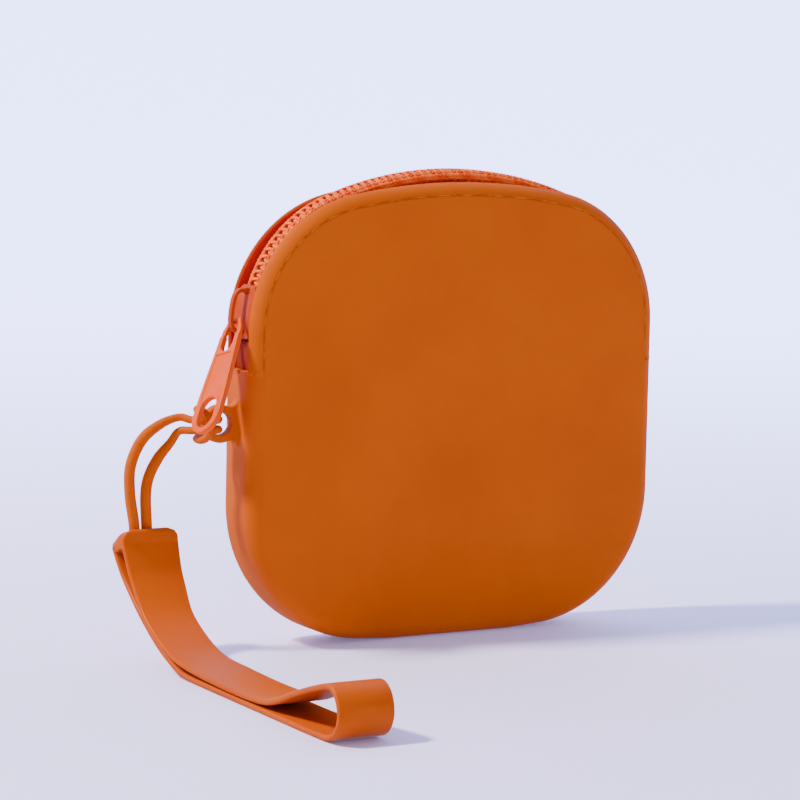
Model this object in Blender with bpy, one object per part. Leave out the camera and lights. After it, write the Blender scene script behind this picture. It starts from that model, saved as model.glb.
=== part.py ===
# Silicone zip pouch with a coil zip over its top and a wrist strap on a looped cord.
# Metres, +Z up. The middle of the flat foot is the origin, the front panel faces -Y,
# and the slider and the lug are on the left, toward -X.

import math

import bpy
import bmesh
from mathutils import Matrix, Vector

# Zip chain: each half is a nylon wire wound into teeth
coil_pitch = 0.00175
wire_radius = 0.000275
coil_half_thickness = 0.0011
row_width = 0.0030
head_reach = 0.000525
core_radius = 0.00024
core_offset = row_width / 2
coil_start = 0.0020
core_overrun = 0.0001

# Wedge of the slider, which parts the two rows below it
wedge_half_width = 0.00045
wedge_row_gap = 0.000325
wedge_tape_gap = 0.00045
row_parting = head_reach + wedge_half_width + wedge_row_gap
parting_start = 0.0020
parting_end = -0.0025

# Mouth of the body, which the parted rows just pass, and the lips on both sides of it
mouth_clearance = 0.0003
mouth_half = row_width + row_parting + mouth_clearance
lip_width = 0.0025
lip_chamfer = 0.0006
cutter_reach = 0.0012

# Driving sizes of the moulded body
body_width = 0.102
body_height = 0.100
corner_radius = 0.030
top_bow = 0.0020
foot_bow = 0.00046
foot_sag = 0.00039
edge_fillet = 0.0036
wall = 0.0018
mouth_side = 0.0080
body_half = body_width / 2
depth_half = mouth_half + lip_width
corner_offset = body_half - corner_radius
upper_corner_height = body_height - corner_radius - top_bow
lower_corner_height = corner_radius + foot_bow
mouth_end_height = upper_corner_height - mouth_side

# Lug on the left side, below the end of the mouth
lug_standout = 0.00385
lug_drop = 0.01135
lug_radius = 0.0041
lug_hole_radius = 0.00235
lug_half_thickness = 0.00125
lug_edge = 0.00045
lug_root_fillet = 0.0018
lug_root_depth = 0.0010
lug_centre_x = -body_half - lug_standout
lug_centre_z = mouth_end_height - lug_drop

# Path of the zip, in the middle plane: sunk between the lips at the sides, just proud at the top
zip_side_sink = 0.0031
zip_corner_inset = 0.0005
zip_top_rise = 0.0010
zip_half = body_half - zip_side_sink
zip_corner_radius = corner_radius - zip_corner_inset
zip_corner_offset = zip_half - zip_corner_radius
zip_apex = body_height + zip_top_rise

# Slider, bent to the corner of the zip so that it runs true
slider_rest_angle = math.radians(172)
slider_length_half = 0.0055
slider_overhang = 0.0011
slider_width_half = row_width + slider_overhang
slider_squareness = 4
lower_width_share = 0.9

# Tape that carries the coils
tape_thickness = 0.0005
tape_gap = 0.00025
tape_margin = 0.0003
tape_lip_gap = 0.0004
tape_wall_gap = 0.0004
tape_slider_gap = 0.00021
tape_level_blend = 0.0003
tape_depth = 0.0075
tape_tail = -0.0030
tape_edge = wedge_half_width + wedge_tape_gap
tape_flat = row_width + tape_margin
tape_bend = mouth_half - tape_lip_gap
tape_outer = depth_half - wall - tape_wall_gap
tape_level_flat = slider_width_half * lower_width_share + tape_slider_gap
tape_step_down = (edge_fillet - wall) / 2
lip_clearance = wall + tape_wall_gap

# End stops over both rows
stop_length = 0.0012
stop_start = 0.0004
stop_overhang = 0.0008
stop_cover = 0.00015
stop_tape_gap = 0.0003
stop_chamfer = 0.0004
stop_half_width = row_width + stop_overhang
stop_top = coil_half_thickness + stop_cover
stop_bottom = -coil_half_thickness - tape_gap + stop_tape_gap

# Wings of the slider, above the rows and below the tapes
plate_thickness = 0.0007
plate_chamfer = 0.00025
plate_overlap = 0.0003
upper_plate_gap = 0.00025
lower_plate_gap = 0.0003
upper_plate_bottom = coil_half_thickness + upper_plate_gap
upper_plate_top = upper_plate_bottom + plate_thickness
lower_plate_top = -coil_half_thickness - tape_gap - tape_thickness - lower_plate_gap
lower_plate_bottom = lower_plate_top - plate_thickness
flange_gap = 0.00035
flange_thickness = 0.0005
flange_tape_gap = 0.0004
flange_start = 0.0020
flange_end = 0.0042
flange_inner = row_width + flange_gap
flange_outer = flange_inner + flange_thickness
flange_bottom = -coil_half_thickness - tape_gap + flange_tape_gap
wedge_tail_margin = 0.0007
wedge_length = 0.0010
wedge_lead = 0.0002
wedge_tip_half_width = 0.0001
wedge_tail = wedge_tail_margin - slider_length_half
wedge_tip = parting_end + wedge_lead
wedge_shoulder = wedge_tip - wedge_length

# Crown over the slider, which holds the pull
crown_half_width = 0.0008
crown_thickness = 0.0008
crown_end_margin = 0.0015
crown_middle = 0.0001
crown_seat = 0.00025
crown_rise = 0.0032
crown_roundness_share = 0.5
pocket_clearance = 0.0002
crown_half_span = slider_length_half - crown_end_margin
crown_foot = upper_plate_bottom + crown_seat

# Pull tab, which hangs by its bar inside the crown
pull_bar_travel = -0.001971
pull_bar_play = 0.000513
pull_bar_radius = 0.0004
pull_tilt = math.radians(29)
pull_lean = math.radians(21)
pull_twist = math.radians(5)
pull_swing = math.radians(150)
pull_thickness = 0.0012
pull_eye_thickness = 0.0008
pull_length = 0.0272
pull_top_half_width = 0.0021
pull_shoulder_half_width = 0.0030
pull_shoulder_length = 0.0026
pull_bottom_half_width = 0.0043
pull_hole_half_width = 0.0026
pull_hole_low = 0.0005
pull_hole_high = 0.0015
pull_window_play = 0.00055
pull_window_half_width = 0.0019
pull_window_shoulder = 0.0024
pull_window_length = 0.0076
pull_eye_length = 0.0036
pull_recess_start = 0.0082
pull_recess_end = 0.0172
pull_recess_depth = 0.00025
pull_rim = 0.0009
pull_bar_height = crown_foot + crown_rise - crown_thickness / 2 - pull_bar_radius - pull_bar_play
pull_window_start_half_width = crown_half_width + pull_window_play

# Strap cord, squeezed thinner where it is hitched through the lug
cord_diameter = 0.0024
cord_hitch_share = 0.71
cord_squeeze_reach = 0.0082

# Wrist strap: a flat band folded into a long loop, with both ends in a moulded head
strap_offset = 0.01415
strap_reach = 0.100
band_width = 0.0120
band_thickness = 0.0012
band_edge = 0.0004
band_layer_gap = 0.0003
head_top = 0.0266
head_thickness = 0.0076
head_flare = 0.0011
socket_shift = 0.00175
socket_middle_y = 0.0045
socket_half_spread = 0.00145
socket_clearance = 0.0003
socket_depth = 0.0034
cord_seat_depth = 0.0030
band_middle_x = lug_centre_x - strap_offset
socket_middle_x = band_middle_x - socket_shift
socket_radius = cord_diameter / 2 + socket_clearance

# Colours and finishes
orange_silicone = (0.535, 0.130, 0.025)
strap_silicone = (0.580, 0.105, 0.008)
zip_nylon = (0.700, 0.150, 0.050)
tape_weave = (0.330, 0.020, 0.006)
painted_zinc = (0.780, 0.260, 0.110)


# Clean start
for old in list(bpy.data.objects):
    bpy.data.objects.remove(old, do_unlink=True)


def material(name, colour, roughness, metallic=0.0):
    made = bpy.data.materials.new(name)
    made.use_nodes = True
    shader = made.node_tree.nodes["Principled BSDF"]
    shader.inputs["Base Color"].default_value = (*colour, 1.0)
    shader.inputs["Roughness"].default_value = roughness
    shader.inputs["Metallic"].default_value = metallic
    return made


def link(name, data, finish):
    made = bpy.data.objects.new(name, data)
    bpy.context.scene.collection.objects.link(made)
    if finish:
        data.materials.append(finish)
    return made


# Joins a row of closed rings with quads and closes both ends
def loft(name, rings, finish=None, smooth=True):
    mesh = bmesh.new()
    rows = [[mesh.verts.new(point) for point in ring] for ring in rings]
    count = len(rows[0])
    for row, following in zip(rows, rows[1:]):
        for i in range(count):
            j = (i + 1) % count
            mesh.faces.new((row[i], row[j], following[j], following[i]))
    mesh.faces.new(rows[0])
    mesh.faces.new(rows[-1])
    bmesh.ops.recalc_face_normals(mesh, faces=mesh.faces)
    for face in mesh.faces:
        face.smooth = smooth and len(face.verts) == 4
    data = bpy.data.meshes.new(name)
    mesh.to_mesh(data)
    mesh.free()
    return link(name, data, finish)


def tube(name, points, radius, resolution, finish, radius_shares=None):
    data = bpy.data.curves.new(name, "CURVE")
    data.dimensions = "3D"
    data.bevel_depth = radius
    data.bevel_resolution = resolution
    data.use_fill_caps = True
    spline = data.splines.new("POLY")
    spline.points.add(len(points) - 1)
    for i, point in enumerate(points):
        spline.points[i].co = (*point, 1.0)
        spline.points[i].radius = radius_shares[i] if radius_shares else 1.0
    return link(name, data, finish)


def boolean(target, cutter, operation):
    step = target.modifiers.new(cutter.name, "BOOLEAN")
    step.operation = operation
    step.solver = "EXACT"
    step.object = cutter
    cutter.hide_render = True
    cutter.display_type = "WIRE"


def smooth_step(share):
    share = min(max(share, 0.0), 1.0)
    return share * share * (3 - 2 * share)


def arc(centre_x, centre_z, radius, start, end, steps):
    turn = (end - start) / steps
    angles = [start + turn * i for i in range(steps)]
    return [(centre_x + radius * math.cos(a), centre_z + radius * math.sin(a)) for a in angles]


# Radius of the shallow arc that passes through the crest and touches both corner arcs
def crest_radius(offset, rise, radius):
    return (offset ** 2 + rise ** 2 - radius ** 2) / (2 * (rise - radius))


# Outline of the body, moved inward by an inset, counter-clockwise from the lower right corner
def outline(inset):
    crown = crest_radius(corner_offset, body_height - upper_corner_height, corner_radius)
    sole = crest_radius(corner_offset, lower_corner_height + foot_sag, corner_radius)
    crown_z = body_height - crown
    sole_z = sole - foot_sag
    crown_angle = math.atan2(upper_corner_height - crown_z, corner_offset)
    sole_angle = math.atan2(sole_z - lower_corner_height, corner_offset)
    small = corner_radius - inset
    right = math.radians(360)
    left = math.radians(180)
    points = arc(corner_offset, lower_corner_height, small, right - sole_angle, right, 12)
    points += arc(corner_offset, upper_corner_height, small, 0, crown_angle, 12)
    points += arc(0, crown_z, crown - inset, crown_angle, left - crown_angle, 14)
    points += arc(-corner_offset, upper_corner_height, small, left - crown_angle, left, 12)
    points += arc(-corner_offset, lower_corner_height, small, left, left + sole_angle, 12)
    points += arc(0, sole_z, sole - inset, left + sole_angle, right - sole_angle, 10)
    return [(x, max(z, inset)) for x, z in points]


# Rounded slab whose outline shrinks at both faces by the fillet
def slab(name, inset, half_depth, fillet, steps, finish=None):
    rings = []
    for side in (-1, 1):
        for i in range(steps + 1):
            angle = math.radians(90) * (1 - i / steps) if side < 0 else math.radians(90) * i / steps
            y = side * (half_depth - fillet + fillet * math.sin(angle))
            shrink = inset + fillet * (1 - math.cos(angle))
            rings.append([Vector((x, y, z)) for x, z in outline(shrink)])
    return loft(name, rings, finish)


# Stations of an arch that starts on the left at a height, with outward normals
class Arch:
    def __init__(self, half, radius, apex):
        self.half = half
        self.radius = radius
        self.offset = half - radius
        self.crest = crest_radius(self.offset, apex - upper_corner_height, radius)
        self.crest_z = apex - self.crest
        self.turn = math.atan2(self.offset, upper_corner_height - self.crest_z)
        self.side = upper_corner_height - mouth_end_height
        self.corner = radius * (math.radians(90) - self.turn)
        self.top = 2 * self.crest * self.turn
        self.length = 2 * (self.side + self.corner) + self.top

    # Point, outward normal and direction of travel at a distance from the left end
    def at(self, distance):
        if distance > self.length / 2:
            point, normal, along = self.at(self.length - distance)
            return (Vector((-point.x, 0, point.z)), Vector((-normal.x, 0, normal.z)),
                    Vector((along.x, 0, -along.z)))
        if distance < self.side:
            point = Vector((-self.half, 0, mouth_end_height + distance))
            return point, Vector((-1, 0, 0)), Vector((0, 0, 1))
        if distance < self.side + self.corner:
            angle = (distance - self.side) / self.radius
            centre = Vector((-self.offset, 0, upper_corner_height))
            reach = self.radius
        else:
            past = (distance - self.side - self.corner) / self.crest
            angle = math.radians(90) - self.turn + past
            centre = Vector((0, 0, self.crest_z))
            reach = self.crest
        normal = Vector((-math.cos(angle), 0, math.sin(angle)))
        along = Vector((math.sin(angle), 0, math.cos(angle)))
        return centre + normal * reach, normal, along

    # The same share of each stretch on another arch of this family
    def matched(self, distance, other):
        marks = (0, self.side, self.side + self.corner, self.side + self.corner + self.top,
                 self.length - self.side, self.length)
        others = (0, other.side, other.side + other.corner, other.side + other.corner + other.top,
                  other.length - other.side, other.length)
        if distance <= 0:
            return distance
        if distance >= self.length:
            return other.length + distance - self.length
        for i in range(len(marks) - 1):
            if distance <= marks[i + 1]:
                share = (distance - marks[i]) / (marks[i + 1] - marks[i])
                return others[i] + share * (others[i + 1] - others[i])


lip_arch = Arch(body_half, corner_radius, body_height)
zip_arch = Arch(zip_half, zip_corner_radius, zip_apex)
slider_station = zip_arch.side + zip_arch.radius * (math.radians(180) - slider_rest_angle)


# How far each row stands apart from the middle: the wedge parts them below the slider
def parting(distance):
    span = parting_start - parting_end
    return row_parting * smooth_step((parting_start - (distance - slider_station)) / span)


def chain_point(distance, y, height):
    point, normal, along = zip_arch.at(distance)
    return point + normal * height + Vector((0, y, 0))


silicone = material("orange silicone", orange_silicone, 0.55)
strap_finish = material("strap silicone", strap_silicone, 0.5)
nylon = material("zip nylon", zip_nylon, 0.4)
weave = material("tape weave", tape_weave, 0.85)
paint = material("painted zinc", painted_zinc, 0.35, 0.3)


# Outline of the lug: a ring whose root runs into the side wall with two hollow fillets
def lug_outline(inset):
    fillet_x = -body_half - lug_root_fillet
    reach = lug_radius + lug_root_fillet
    fillet_rise = math.sqrt(reach ** 2 - (fillet_x - lug_centre_x) ** 2)
    lean = math.atan2(fillet_rise, fillet_x - lug_centre_x)
    left = math.radians(180)
    root_x = -body_half + lug_root_depth
    hollow = lug_root_fillet + inset
    upper = arc(fillet_x, lug_centre_z + fillet_rise, hollow, 0, lean - left, 5)
    ring = arc(lug_centre_x, lug_centre_z, lug_radius - inset, lean, 2 * left - lean, 20)
    lower = arc(fillet_x, lug_centre_z - fillet_rise, hollow, left - lean, 0, 5)
    ends = [(-body_half + inset, lug_centre_z - fillet_rise), (root_x, lug_centre_z - fillet_rise),
            (root_x, lug_centre_z + fillet_rise)]
    return upper + ring + lower + ends


def make_lug():
    chamfer_share = 0.3
    levels = [(-lug_half_thickness, lug_edge),
              (-lug_half_thickness + lug_edge * chamfer_share, lug_edge * chamfer_share),
              (-lug_half_thickness + lug_edge, 0)]
    levels += [(-y, inset) for y, inset in reversed(levels)]
    rings = [[Vector((x, y, z)) for x, z in lug_outline(inset)] for y, inset in levels]
    return loft("lug guide", rings)


def make_lug_bore():
    flare = lug_half_thickness + cutter_reach
    throat = lug_half_thickness - lug_edge
    levels = [(flare, lug_hole_radius + lug_edge + cutter_reach), (throat, lug_hole_radius)]
    levels += [(-y, radius) for y, radius in reversed(levels)]
    full = math.radians(360)
    rings = [[Vector((x, y, z)) for x, z in arc(lug_centre_x, lug_centre_z, radius, 0, full, 24)]
             for y, radius in levels]
    return loft("lug bore", rings)


# Cutter that opens the wall between the lips, with a chamfer at the lip edges
def make_mouth_cutter():
    rings = []
    steps = 46
    depth = wall + cutter_reach
    flare = lip_chamfer + cutter_reach
    for i in range(steps + 1):
        point, normal, along = lip_arch.at(lip_arch.length * i / steps)
        inner = point - normal * depth
        throat = point - normal * lip_chamfer
        outer = point + normal * cutter_reach
        ring = [inner + Vector((0, -mouth_half, 0)), throat + Vector((0, -mouth_half, 0)),
                outer + Vector((0, -mouth_half - flare, 0)), outer + Vector((0, mouth_half + flare, 0)),
                throat + Vector((0, mouth_half, 0)), inner + Vector((0, mouth_half, 0))]
        rings.append(ring)
    return loft("mouth cutter", rings)


def make_shell():
    shell = slab("pouch_shell", 0, depth_half, edge_fillet, 5, silicone)
    boolean(shell, make_lug(), "UNION")
    boolean(shell, make_lug_bore(), "DIFFERENCE")
    boolean(shell, slab("cavity", wall, depth_half - wall, edge_fillet - wall, 3), "DIFFERENCE")
    boolean(shell, make_mouth_cutter(), "DIFFERENCE")
    return shell


# Tape half: flat under the coil, then down behind the panel, where the seam holds it
def make_tape(name, side):
    rings = []
    steps = 48
    first = tape_tail
    last = zip_arch.length - tape_tail
    under_top = -coil_half_thickness - tape_gap
    under_bottom = under_top - tape_thickness
    for i in range(steps + 1):
        distance = first + (last - first) * i / steps
        path, normal, along = zip_arch.at(distance)
        lip, lip_normal, lip_along = lip_arch.at(zip_arch.matched(distance, lip_arch))
        sunk = (lip - path - normal * under_top).dot(lip_normal)
        bend = max(lip_clearance, sunk)
        level = smooth_step((sunk - lip_clearance) / tape_level_blend)
        under = tape_flat - tape_thickness
        under += (tape_level_flat - under) * level
        ring = [path + normal * under_top + Vector((0, side * tape_edge, 0)),
                path + normal * under_top + Vector((0, side * tape_flat, 0)),
                lip - lip_normal * bend + Vector((0, side * tape_bend, 0)),
                lip - lip_normal * (bend + tape_step_down) + Vector((0, side * tape_outer, 0)),
                lip - lip_normal * tape_depth + Vector((0, side * tape_outer, 0)),
                lip - lip_normal * tape_depth + Vector((0, side * (tape_outer - tape_thickness), 0)),
                lip - lip_normal * (bend + tape_step_down + tape_thickness)
                + Vector((0, side * (tape_outer - tape_thickness), 0)),
                path + normal * under_bottom + Vector((0, side * under, 0)),
                path + normal * under_bottom + Vector((0, side * tape_edge, 0))]
        rings.append(ring)
    return loft(name, rings, weave)


# One turn of the wire as shares of the pitch, of the row's width and of half its thickness
turn_shares = ((0.00, 1.00, 0.0), (0.10, 0.84, 1.0), (0.30, 0.09, 1.0),
               (0.35, -0.04, 0.0), (0.40, 0.09, -1.0), (0.85, 0.84, -1.0))


def coil_points(side, phase_share):
    points = []
    run = zip_arch.length - 2 * coil_start
    turns = int(run / coil_pitch) - 1
    reach = row_width - wire_radius + head_reach - wire_radius
    lift = coil_half_thickness - wire_radius
    for turn in range(turns):
        for along_share, width_share, height_share in turn_shares:
            distance = coil_start + (turn + phase_share + along_share) * coil_pitch
            width = (row_width - wire_radius) * max(width_share, 0)
            width -= (head_reach - wire_radius) * (1 if width_share < 0 else 0)
            y = side * (width + parting(distance))
            points.append(chain_point(distance, y, lift * height_share))
    return points


def least_self_gap(points, skip, radius):
    least = 1.0
    span = 3 * skip
    for i, point in enumerate(points):
        for other in points[i + skip:i + span]:
            least = min(least, (point - other).length)
    return least - 2 * radius


def make_coil(name, side, phase_share):
    points = coil_points(side, phase_share)
    print(name, "least gap between turns, mm:",
          round(least_self_gap(points, len(turn_shares), wire_radius) * 1000, 2))
    return tube(name, points, wire_radius, 0, nylon)


def make_core(name, side):
    steps = 60
    first = coil_start - core_overrun
    last = zip_arch.length - coil_start + core_overrun
    points = []
    for i in range(steps + 1):
        distance = first + (last - first) * i / steps
        points.append(chain_point(distance, side * (core_offset + parting(distance)), 0))
    return tube(name, points, core_radius, 0, weave)


# Moulded stop that bridges both rows at an end of the zip
def make_stop(name, distance, direction):
    rings = []
    for share in (0.0, 0.2, 0.8, 1.0):
        shrink = stop_chamfer / 2 if share in (0.0, 1.0) else 0
        here = distance + direction * share * stop_length
        wide = stop_half_width - shrink
        top = stop_top - shrink
        shape = ((-wide, stop_bottom), (-wide, top - stop_chamfer), (stop_chamfer - wide, top),
                 (wide - stop_chamfer, top), (wide, top - stop_chamfer), (wide, stop_bottom))
        rings.append([chain_point(here, y, height) for y, height in shape])
    return loft(name, rings, nylon, smooth=False)


# Point on the slider: distance up the zip from its middle, across, and out from the chain
def slider_point(travel, y, height):
    angle = slider_rest_angle - travel / zip_corner_radius
    reach = zip_corner_radius + height
    return Vector((-zip_corner_offset + reach * math.cos(angle), y,
                   upper_corner_height + reach * math.sin(angle)))


def slider_width(travel):
    share = abs(travel) / slider_length_half
    return slider_width_half * (1 - share ** slider_squareness) ** (1 / slider_squareness)


def make_plate(name, bottom, top, chamfer_top, width_share=1.0, finish=None):
    rings = []
    steps = 14
    end_share = 0.985
    for i in range(steps + 1):
        sweep = math.radians(90) * (2 * i / steps - 1)
        travel = slider_length_half * end_share * math.sin(sweep)
        wide = slider_width(travel) * width_share
        low = bottom if chamfer_top else bottom + plate_chamfer
        high = top - plate_chamfer if chamfer_top else top
        inner = wide - plate_chamfer
        if chamfer_top:
            shape = ((-wide, bottom), (wide, bottom), (wide, high),
                     (inner, top), (-inner, top), (-wide, high))
        else:
            shape = ((-inner, bottom), (inner, bottom), (wide, low),
                     (wide, top), (-wide, top), (-wide, low))
        rings.append([slider_point(travel, y, height) for y, height in shape])
    return loft(name, rings, finish)


def make_prism(name, corners, bottom, top):
    rings = [[slider_point(travel, y, height) for travel, y in corners] for height in (bottom, top)]
    return loft(name, rings, smooth=False)


def make_slider():
    body = make_plate("slider_body", upper_plate_bottom, upper_plate_top, True, finish=paint)
    lower = make_plate("lower plate guide", lower_plate_bottom, lower_plate_top, False, lower_width_share)
    wedge = make_prism("wedge guide",
                       ((wedge_tail, -wedge_half_width / 2), (wedge_shoulder, -wedge_half_width),
                        (wedge_tip, -wedge_tip_half_width), (wedge_tip, wedge_tip_half_width),
                        (wedge_shoulder, wedge_half_width), (wedge_tail, wedge_half_width / 2)),
                       lower_plate_top - plate_overlap, upper_plate_bottom + plate_overlap)
    boolean(body, wedge, "UNION")
    boolean(body, lower, "UNION")
    middle = (flange_start + flange_end) / 2
    for side in (-1, 1):
        flange = make_prism("flange guide " + ("front" if side < 0 else "back"),
                            ((flange_start, side * flange_inner), (flange_start, side * flange_outer),
                             (middle, side * flange_outer), (flange_end, side * flange_outer),
                             (flange_end, side * flange_inner), (middle, side * flange_inner)),
                            flange_bottom, upper_plate_bottom + plate_overlap)
        boolean(body, flange, "UNION")
    for side in (-1, 1):
        travel = crown_middle + side * crown_half_span
        reach = crown_thickness / 2 + pocket_clearance
        wide = crown_half_width + pocket_clearance
        pocket = make_prism("pocket cutter " + ("low" if side < 0 else "high"),
                            ((travel - reach, -wide), (travel - reach, wide),
                             (travel + reach, wide), (travel + reach, -wide)),
                            upper_plate_bottom + pocket_clearance, upper_plate_top + cutter_reach)
        boolean(body, pocket, "DIFFERENCE")
    return body


# Middle line of the crown as travel and height, from the upper foot to the lower one
def crown_line(share):
    angle = math.radians(180) * share
    lean = math.cos(angle)
    swing = math.copysign(abs(lean) ** crown_roundness_share, lean)
    rise = math.sin(angle) ** crown_roundness_share
    return Vector((crown_middle + crown_half_span * swing, crown_foot + crown_rise * rise))


def make_crown():
    rings = []
    steps = 18
    nudge_share = 0.001
    for i in range(steps + 1):
        share = i / steps
        here = crown_line(share)
        if i in (0, steps):
            normal = Vector((1 if i == 0 else -1, 0))
        else:
            ahead = crown_line(share + nudge_share) - crown_line(share - nudge_share)
            normal = Vector((-ahead.y, ahead.x)).normalized() * -1
        outer = here + normal * crown_thickness / 2
        inner = here - normal * crown_thickness / 2
        rings.append([slider_point(inner.x, -crown_half_width, inner.y),
                      slider_point(outer.x, -crown_half_width, outer.y),
                      slider_point(outer.x, crown_half_width, outer.y),
                      slider_point(inner.x, crown_half_width, inner.y)])
    return loft("slider_bridge", rings, paint, smooth=False)


# Half width of the pull at a distance down from its bar
def pull_half_width(down):
    shoulder = smooth_step(down / pull_shoulder_length)
    flare = smooth_step(down / (pull_length - pull_bottom_half_width))
    return (pull_top_half_width + (pull_shoulder_half_width - pull_top_half_width) * shoulder
            + (pull_bottom_half_width - pull_shoulder_half_width) * flare)


def pull_outline(inset):
    round_centre = pull_length - pull_bottom_half_width
    steps = 16
    top = -pull_bar_radius + inset
    right = [(pull_half_width(round_centre * i / steps) - inset, max(round_centre * i / steps, top))
             for i in range(steps)]
    right[0] = (right[0][0], top)
    half = math.radians(180)
    bottom = arc(0, round_centre, pull_bottom_half_width - inset, 0, half, 14)
    left = [(-x, down) for x, down in reversed(right)]
    return right + bottom + [(-pull_bottom_half_width + inset, round_centre)] + left


def ring_at(outline_points, height):
    return [Vector((x, height, -down)) for x, down in outline_points]


# Turn of the tab from its own frame: it hangs out from the side, leaning forward and twisted
def pull_turn(lean, twist):
    down = Vector((-math.sin(pull_tilt), 0, -math.cos(pull_tilt)))
    out = Vector((-math.cos(pull_tilt), 0, math.sin(pull_tilt)))
    across = Vector((0, -1, 0))
    down, across = (math.cos(lean) * down + math.sin(lean) * across,
                    math.cos(lean) * across - math.sin(lean) * down)
    across, out = (math.cos(twist) * across - math.sin(twist) * out,
                   math.cos(twist) * out + math.sin(twist) * across)
    return Matrix((across, -out, -down)).transposed()


# Pull tab in its own frame: the bar lies along X, the tab hangs down -Z, its face looks along +Y.
# It leans at rest and straightens as it swings up, about the axis that joins both places
def make_pull():
    half = pull_thickness / 2
    rings = [ring_at(pull_outline(plate_chamfer), -half), ring_at(pull_outline(0), plate_chamfer - half),
             ring_at(pull_outline(0), half - plate_chamfer), ring_at(pull_outline(plate_chamfer), half)]
    pull = loft("pull_tab", rings, paint)
    reach = half + cutter_reach
    lower_z = pull_length - pull_bottom_half_width
    full = math.radians(360)
    quarter = math.radians(90)
    lower_arc = arc(0, lower_z + pull_hole_low, pull_hole_half_width, 0, 2 * quarter, 10)
    upper_arc = arc(0, lower_z - pull_hole_high, pull_hole_half_width, 2 * quarter, full, 10)
    hole = lower_arc + upper_arc
    boolean(pull, loft("pull hole cutter", [ring_at(hole, -reach), ring_at(hole, reach)]), "DIFFERENCE")
    window_base = pull_window_length - pull_window_half_width
    window = [(-pull_window_start_half_width, pull_bar_radius),
              (pull_window_start_half_width, pull_bar_radius),
              (pull_window_half_width, pull_window_shoulder)]
    window += arc(0, window_base, pull_window_half_width, 0, 2 * quarter, 8)
    window += [(-pull_window_half_width, window_base), (-pull_window_half_width, pull_window_shoulder)]
    window_cutter = loft("pull window cutter", [ring_at(window, -reach), ring_at(window, reach)])
    boolean(pull, window_cutter, "DIFFERENCE")
    for side in (-1, 1):
        panel = [(pull_half_width(pull_recess_start) - pull_rim, pull_recess_start),
                 (pull_half_width(pull_recess_end) - pull_rim, pull_recess_end),
                 (-pull_half_width(pull_recess_end) + pull_rim, pull_recess_end),
                 (-pull_half_width(pull_recess_start) + pull_rim, pull_recess_start)]
        levels = (side * (half - pull_recess_depth), side * reach)
        cutter = loft("pull panel cutter " + ("back" if side < 0 else "front"),
                      [ring_at(panel, level) for level in levels])
        boolean(pull, cutter, "DIFFERENCE")
        wide = pull_bottom_half_width
        over = -pull_bar_radius - cutter_reach
        eye = [(-wide, over), (wide, over), (wide, pull_eye_length), (-wide, pull_eye_length)]
        levels = (side * pull_eye_thickness / 2, side * reach)
        thin = loft("pull eye cutter " + ("back" if side < 0 else "front"),
                    [ring_at(eye, level) for level in levels])
        boolean(pull, thin, "DIFFERENCE")
    turn = pull_turn(pull_lean, pull_twist)
    bar = slider_point(pull_bar_travel, 0, pull_bar_height)
    rest = Matrix.Translation(bar) @ turn.to_4x4()
    for placed in [pull] + [step.object for step in pull.modifiers]:
        placed.matrix_world = rest
    raised = Matrix.Rotation(pull_swing, 3, "Y") @ pull_turn(0, 0)
    axis, angle = (raised @ turn.transposed()).to_quaternion().to_axis_angle()
    print("pull bar middle", [round(value, 5) for value in bar])
    print("pull swing axis", [round(value, 5) for value in axis], "degrees", round(math.degrees(angle), 1))
    return pull


# Half of the hitch round the outer side of the lug, from the free end to the bight,
# measured from the middle of the lug; the other half is its mirror image in height
hitch_route = ((-0.0086, 0.0019, 0.0015), (-0.0069, -0.0001, 0.00115), (-0.0053, -0.00175, 0.00105),
               (-0.0034, -0.0023, 0.00105), (-0.0016, -0.00205, 0.00105), (-0.0007, -0.00115, 0.00108),
               (-0.00045, 0.0, 0.00112), (-0.0007, 0.00115, 0.0013), (-0.0017, 0.0022, 0.0019),
               (-0.0033, 0.00235, 0.0027), (-0.0046, 0.0014, 0.0031), (-0.0051, 0.0, 0.00315),
               (-0.0051, -0.0018, 0.0031), (-0.00475, -0.0033, 0.0026), (-0.00435, -0.0041, 0.0014),
               (-0.00425, -0.0043, 0.0))

# Free strands up to the hitch, the outer one and the inner one: across from the lug's middle,
# back from the middle plane, and up as a share of the rise from the head's socket to the lug
outer_strand = ((-0.01735, 0.0045, 0.000), (-0.01755, 0.0045, 0.156), (-0.01865, 0.0043, 0.415),
                (-0.01865, 0.0041, 0.655), (-0.01625, 0.0037, 0.874), (-0.01235, 0.0030, 1.002))
inner_strand = ((-0.01445, 0.0045, 0.000), (-0.01465, 0.0045, 0.156), (-0.01495, 0.0044, 0.395),
                (-0.01435, 0.0042, 0.555), (-0.01235, 0.0038, 0.715), (-0.00995, 0.0030, 0.842))


def strand_points(strand):
    foot = head_top - cord_seat_depth
    rise = lug_centre_z - foot
    return [Vector((lug_centre_x + x, y, foot + rise * rise_share)) for x, y, rise_share in strand]


def smooth_route(route, count):
    lengths = [0.0]
    for before, after in zip(route, route[1:]):
        lengths.append(lengths[-1] + (after - before).length)
    points = []
    for i in range(count):
        wanted = lengths[-1] * i / (count - 1)
        k = 0
        while k < len(route) - 2 and lengths[k + 1] < wanted:
            k += 1
        share = (wanted - lengths[k]) / (lengths[k + 1] - lengths[k])
        before = route[max(k - 1, 0)]
        after = route[min(k + 2, len(route) - 1)]
        start = route[k]
        end = route[k + 1]
        points.append(0.5 * (2 * start + (end - before) * share
                             + (2 * before - 5 * start + 4 * end - after) * share ** 2
                             + (3 * start - before - 3 * end + after) * share ** 3))
    return points


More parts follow.
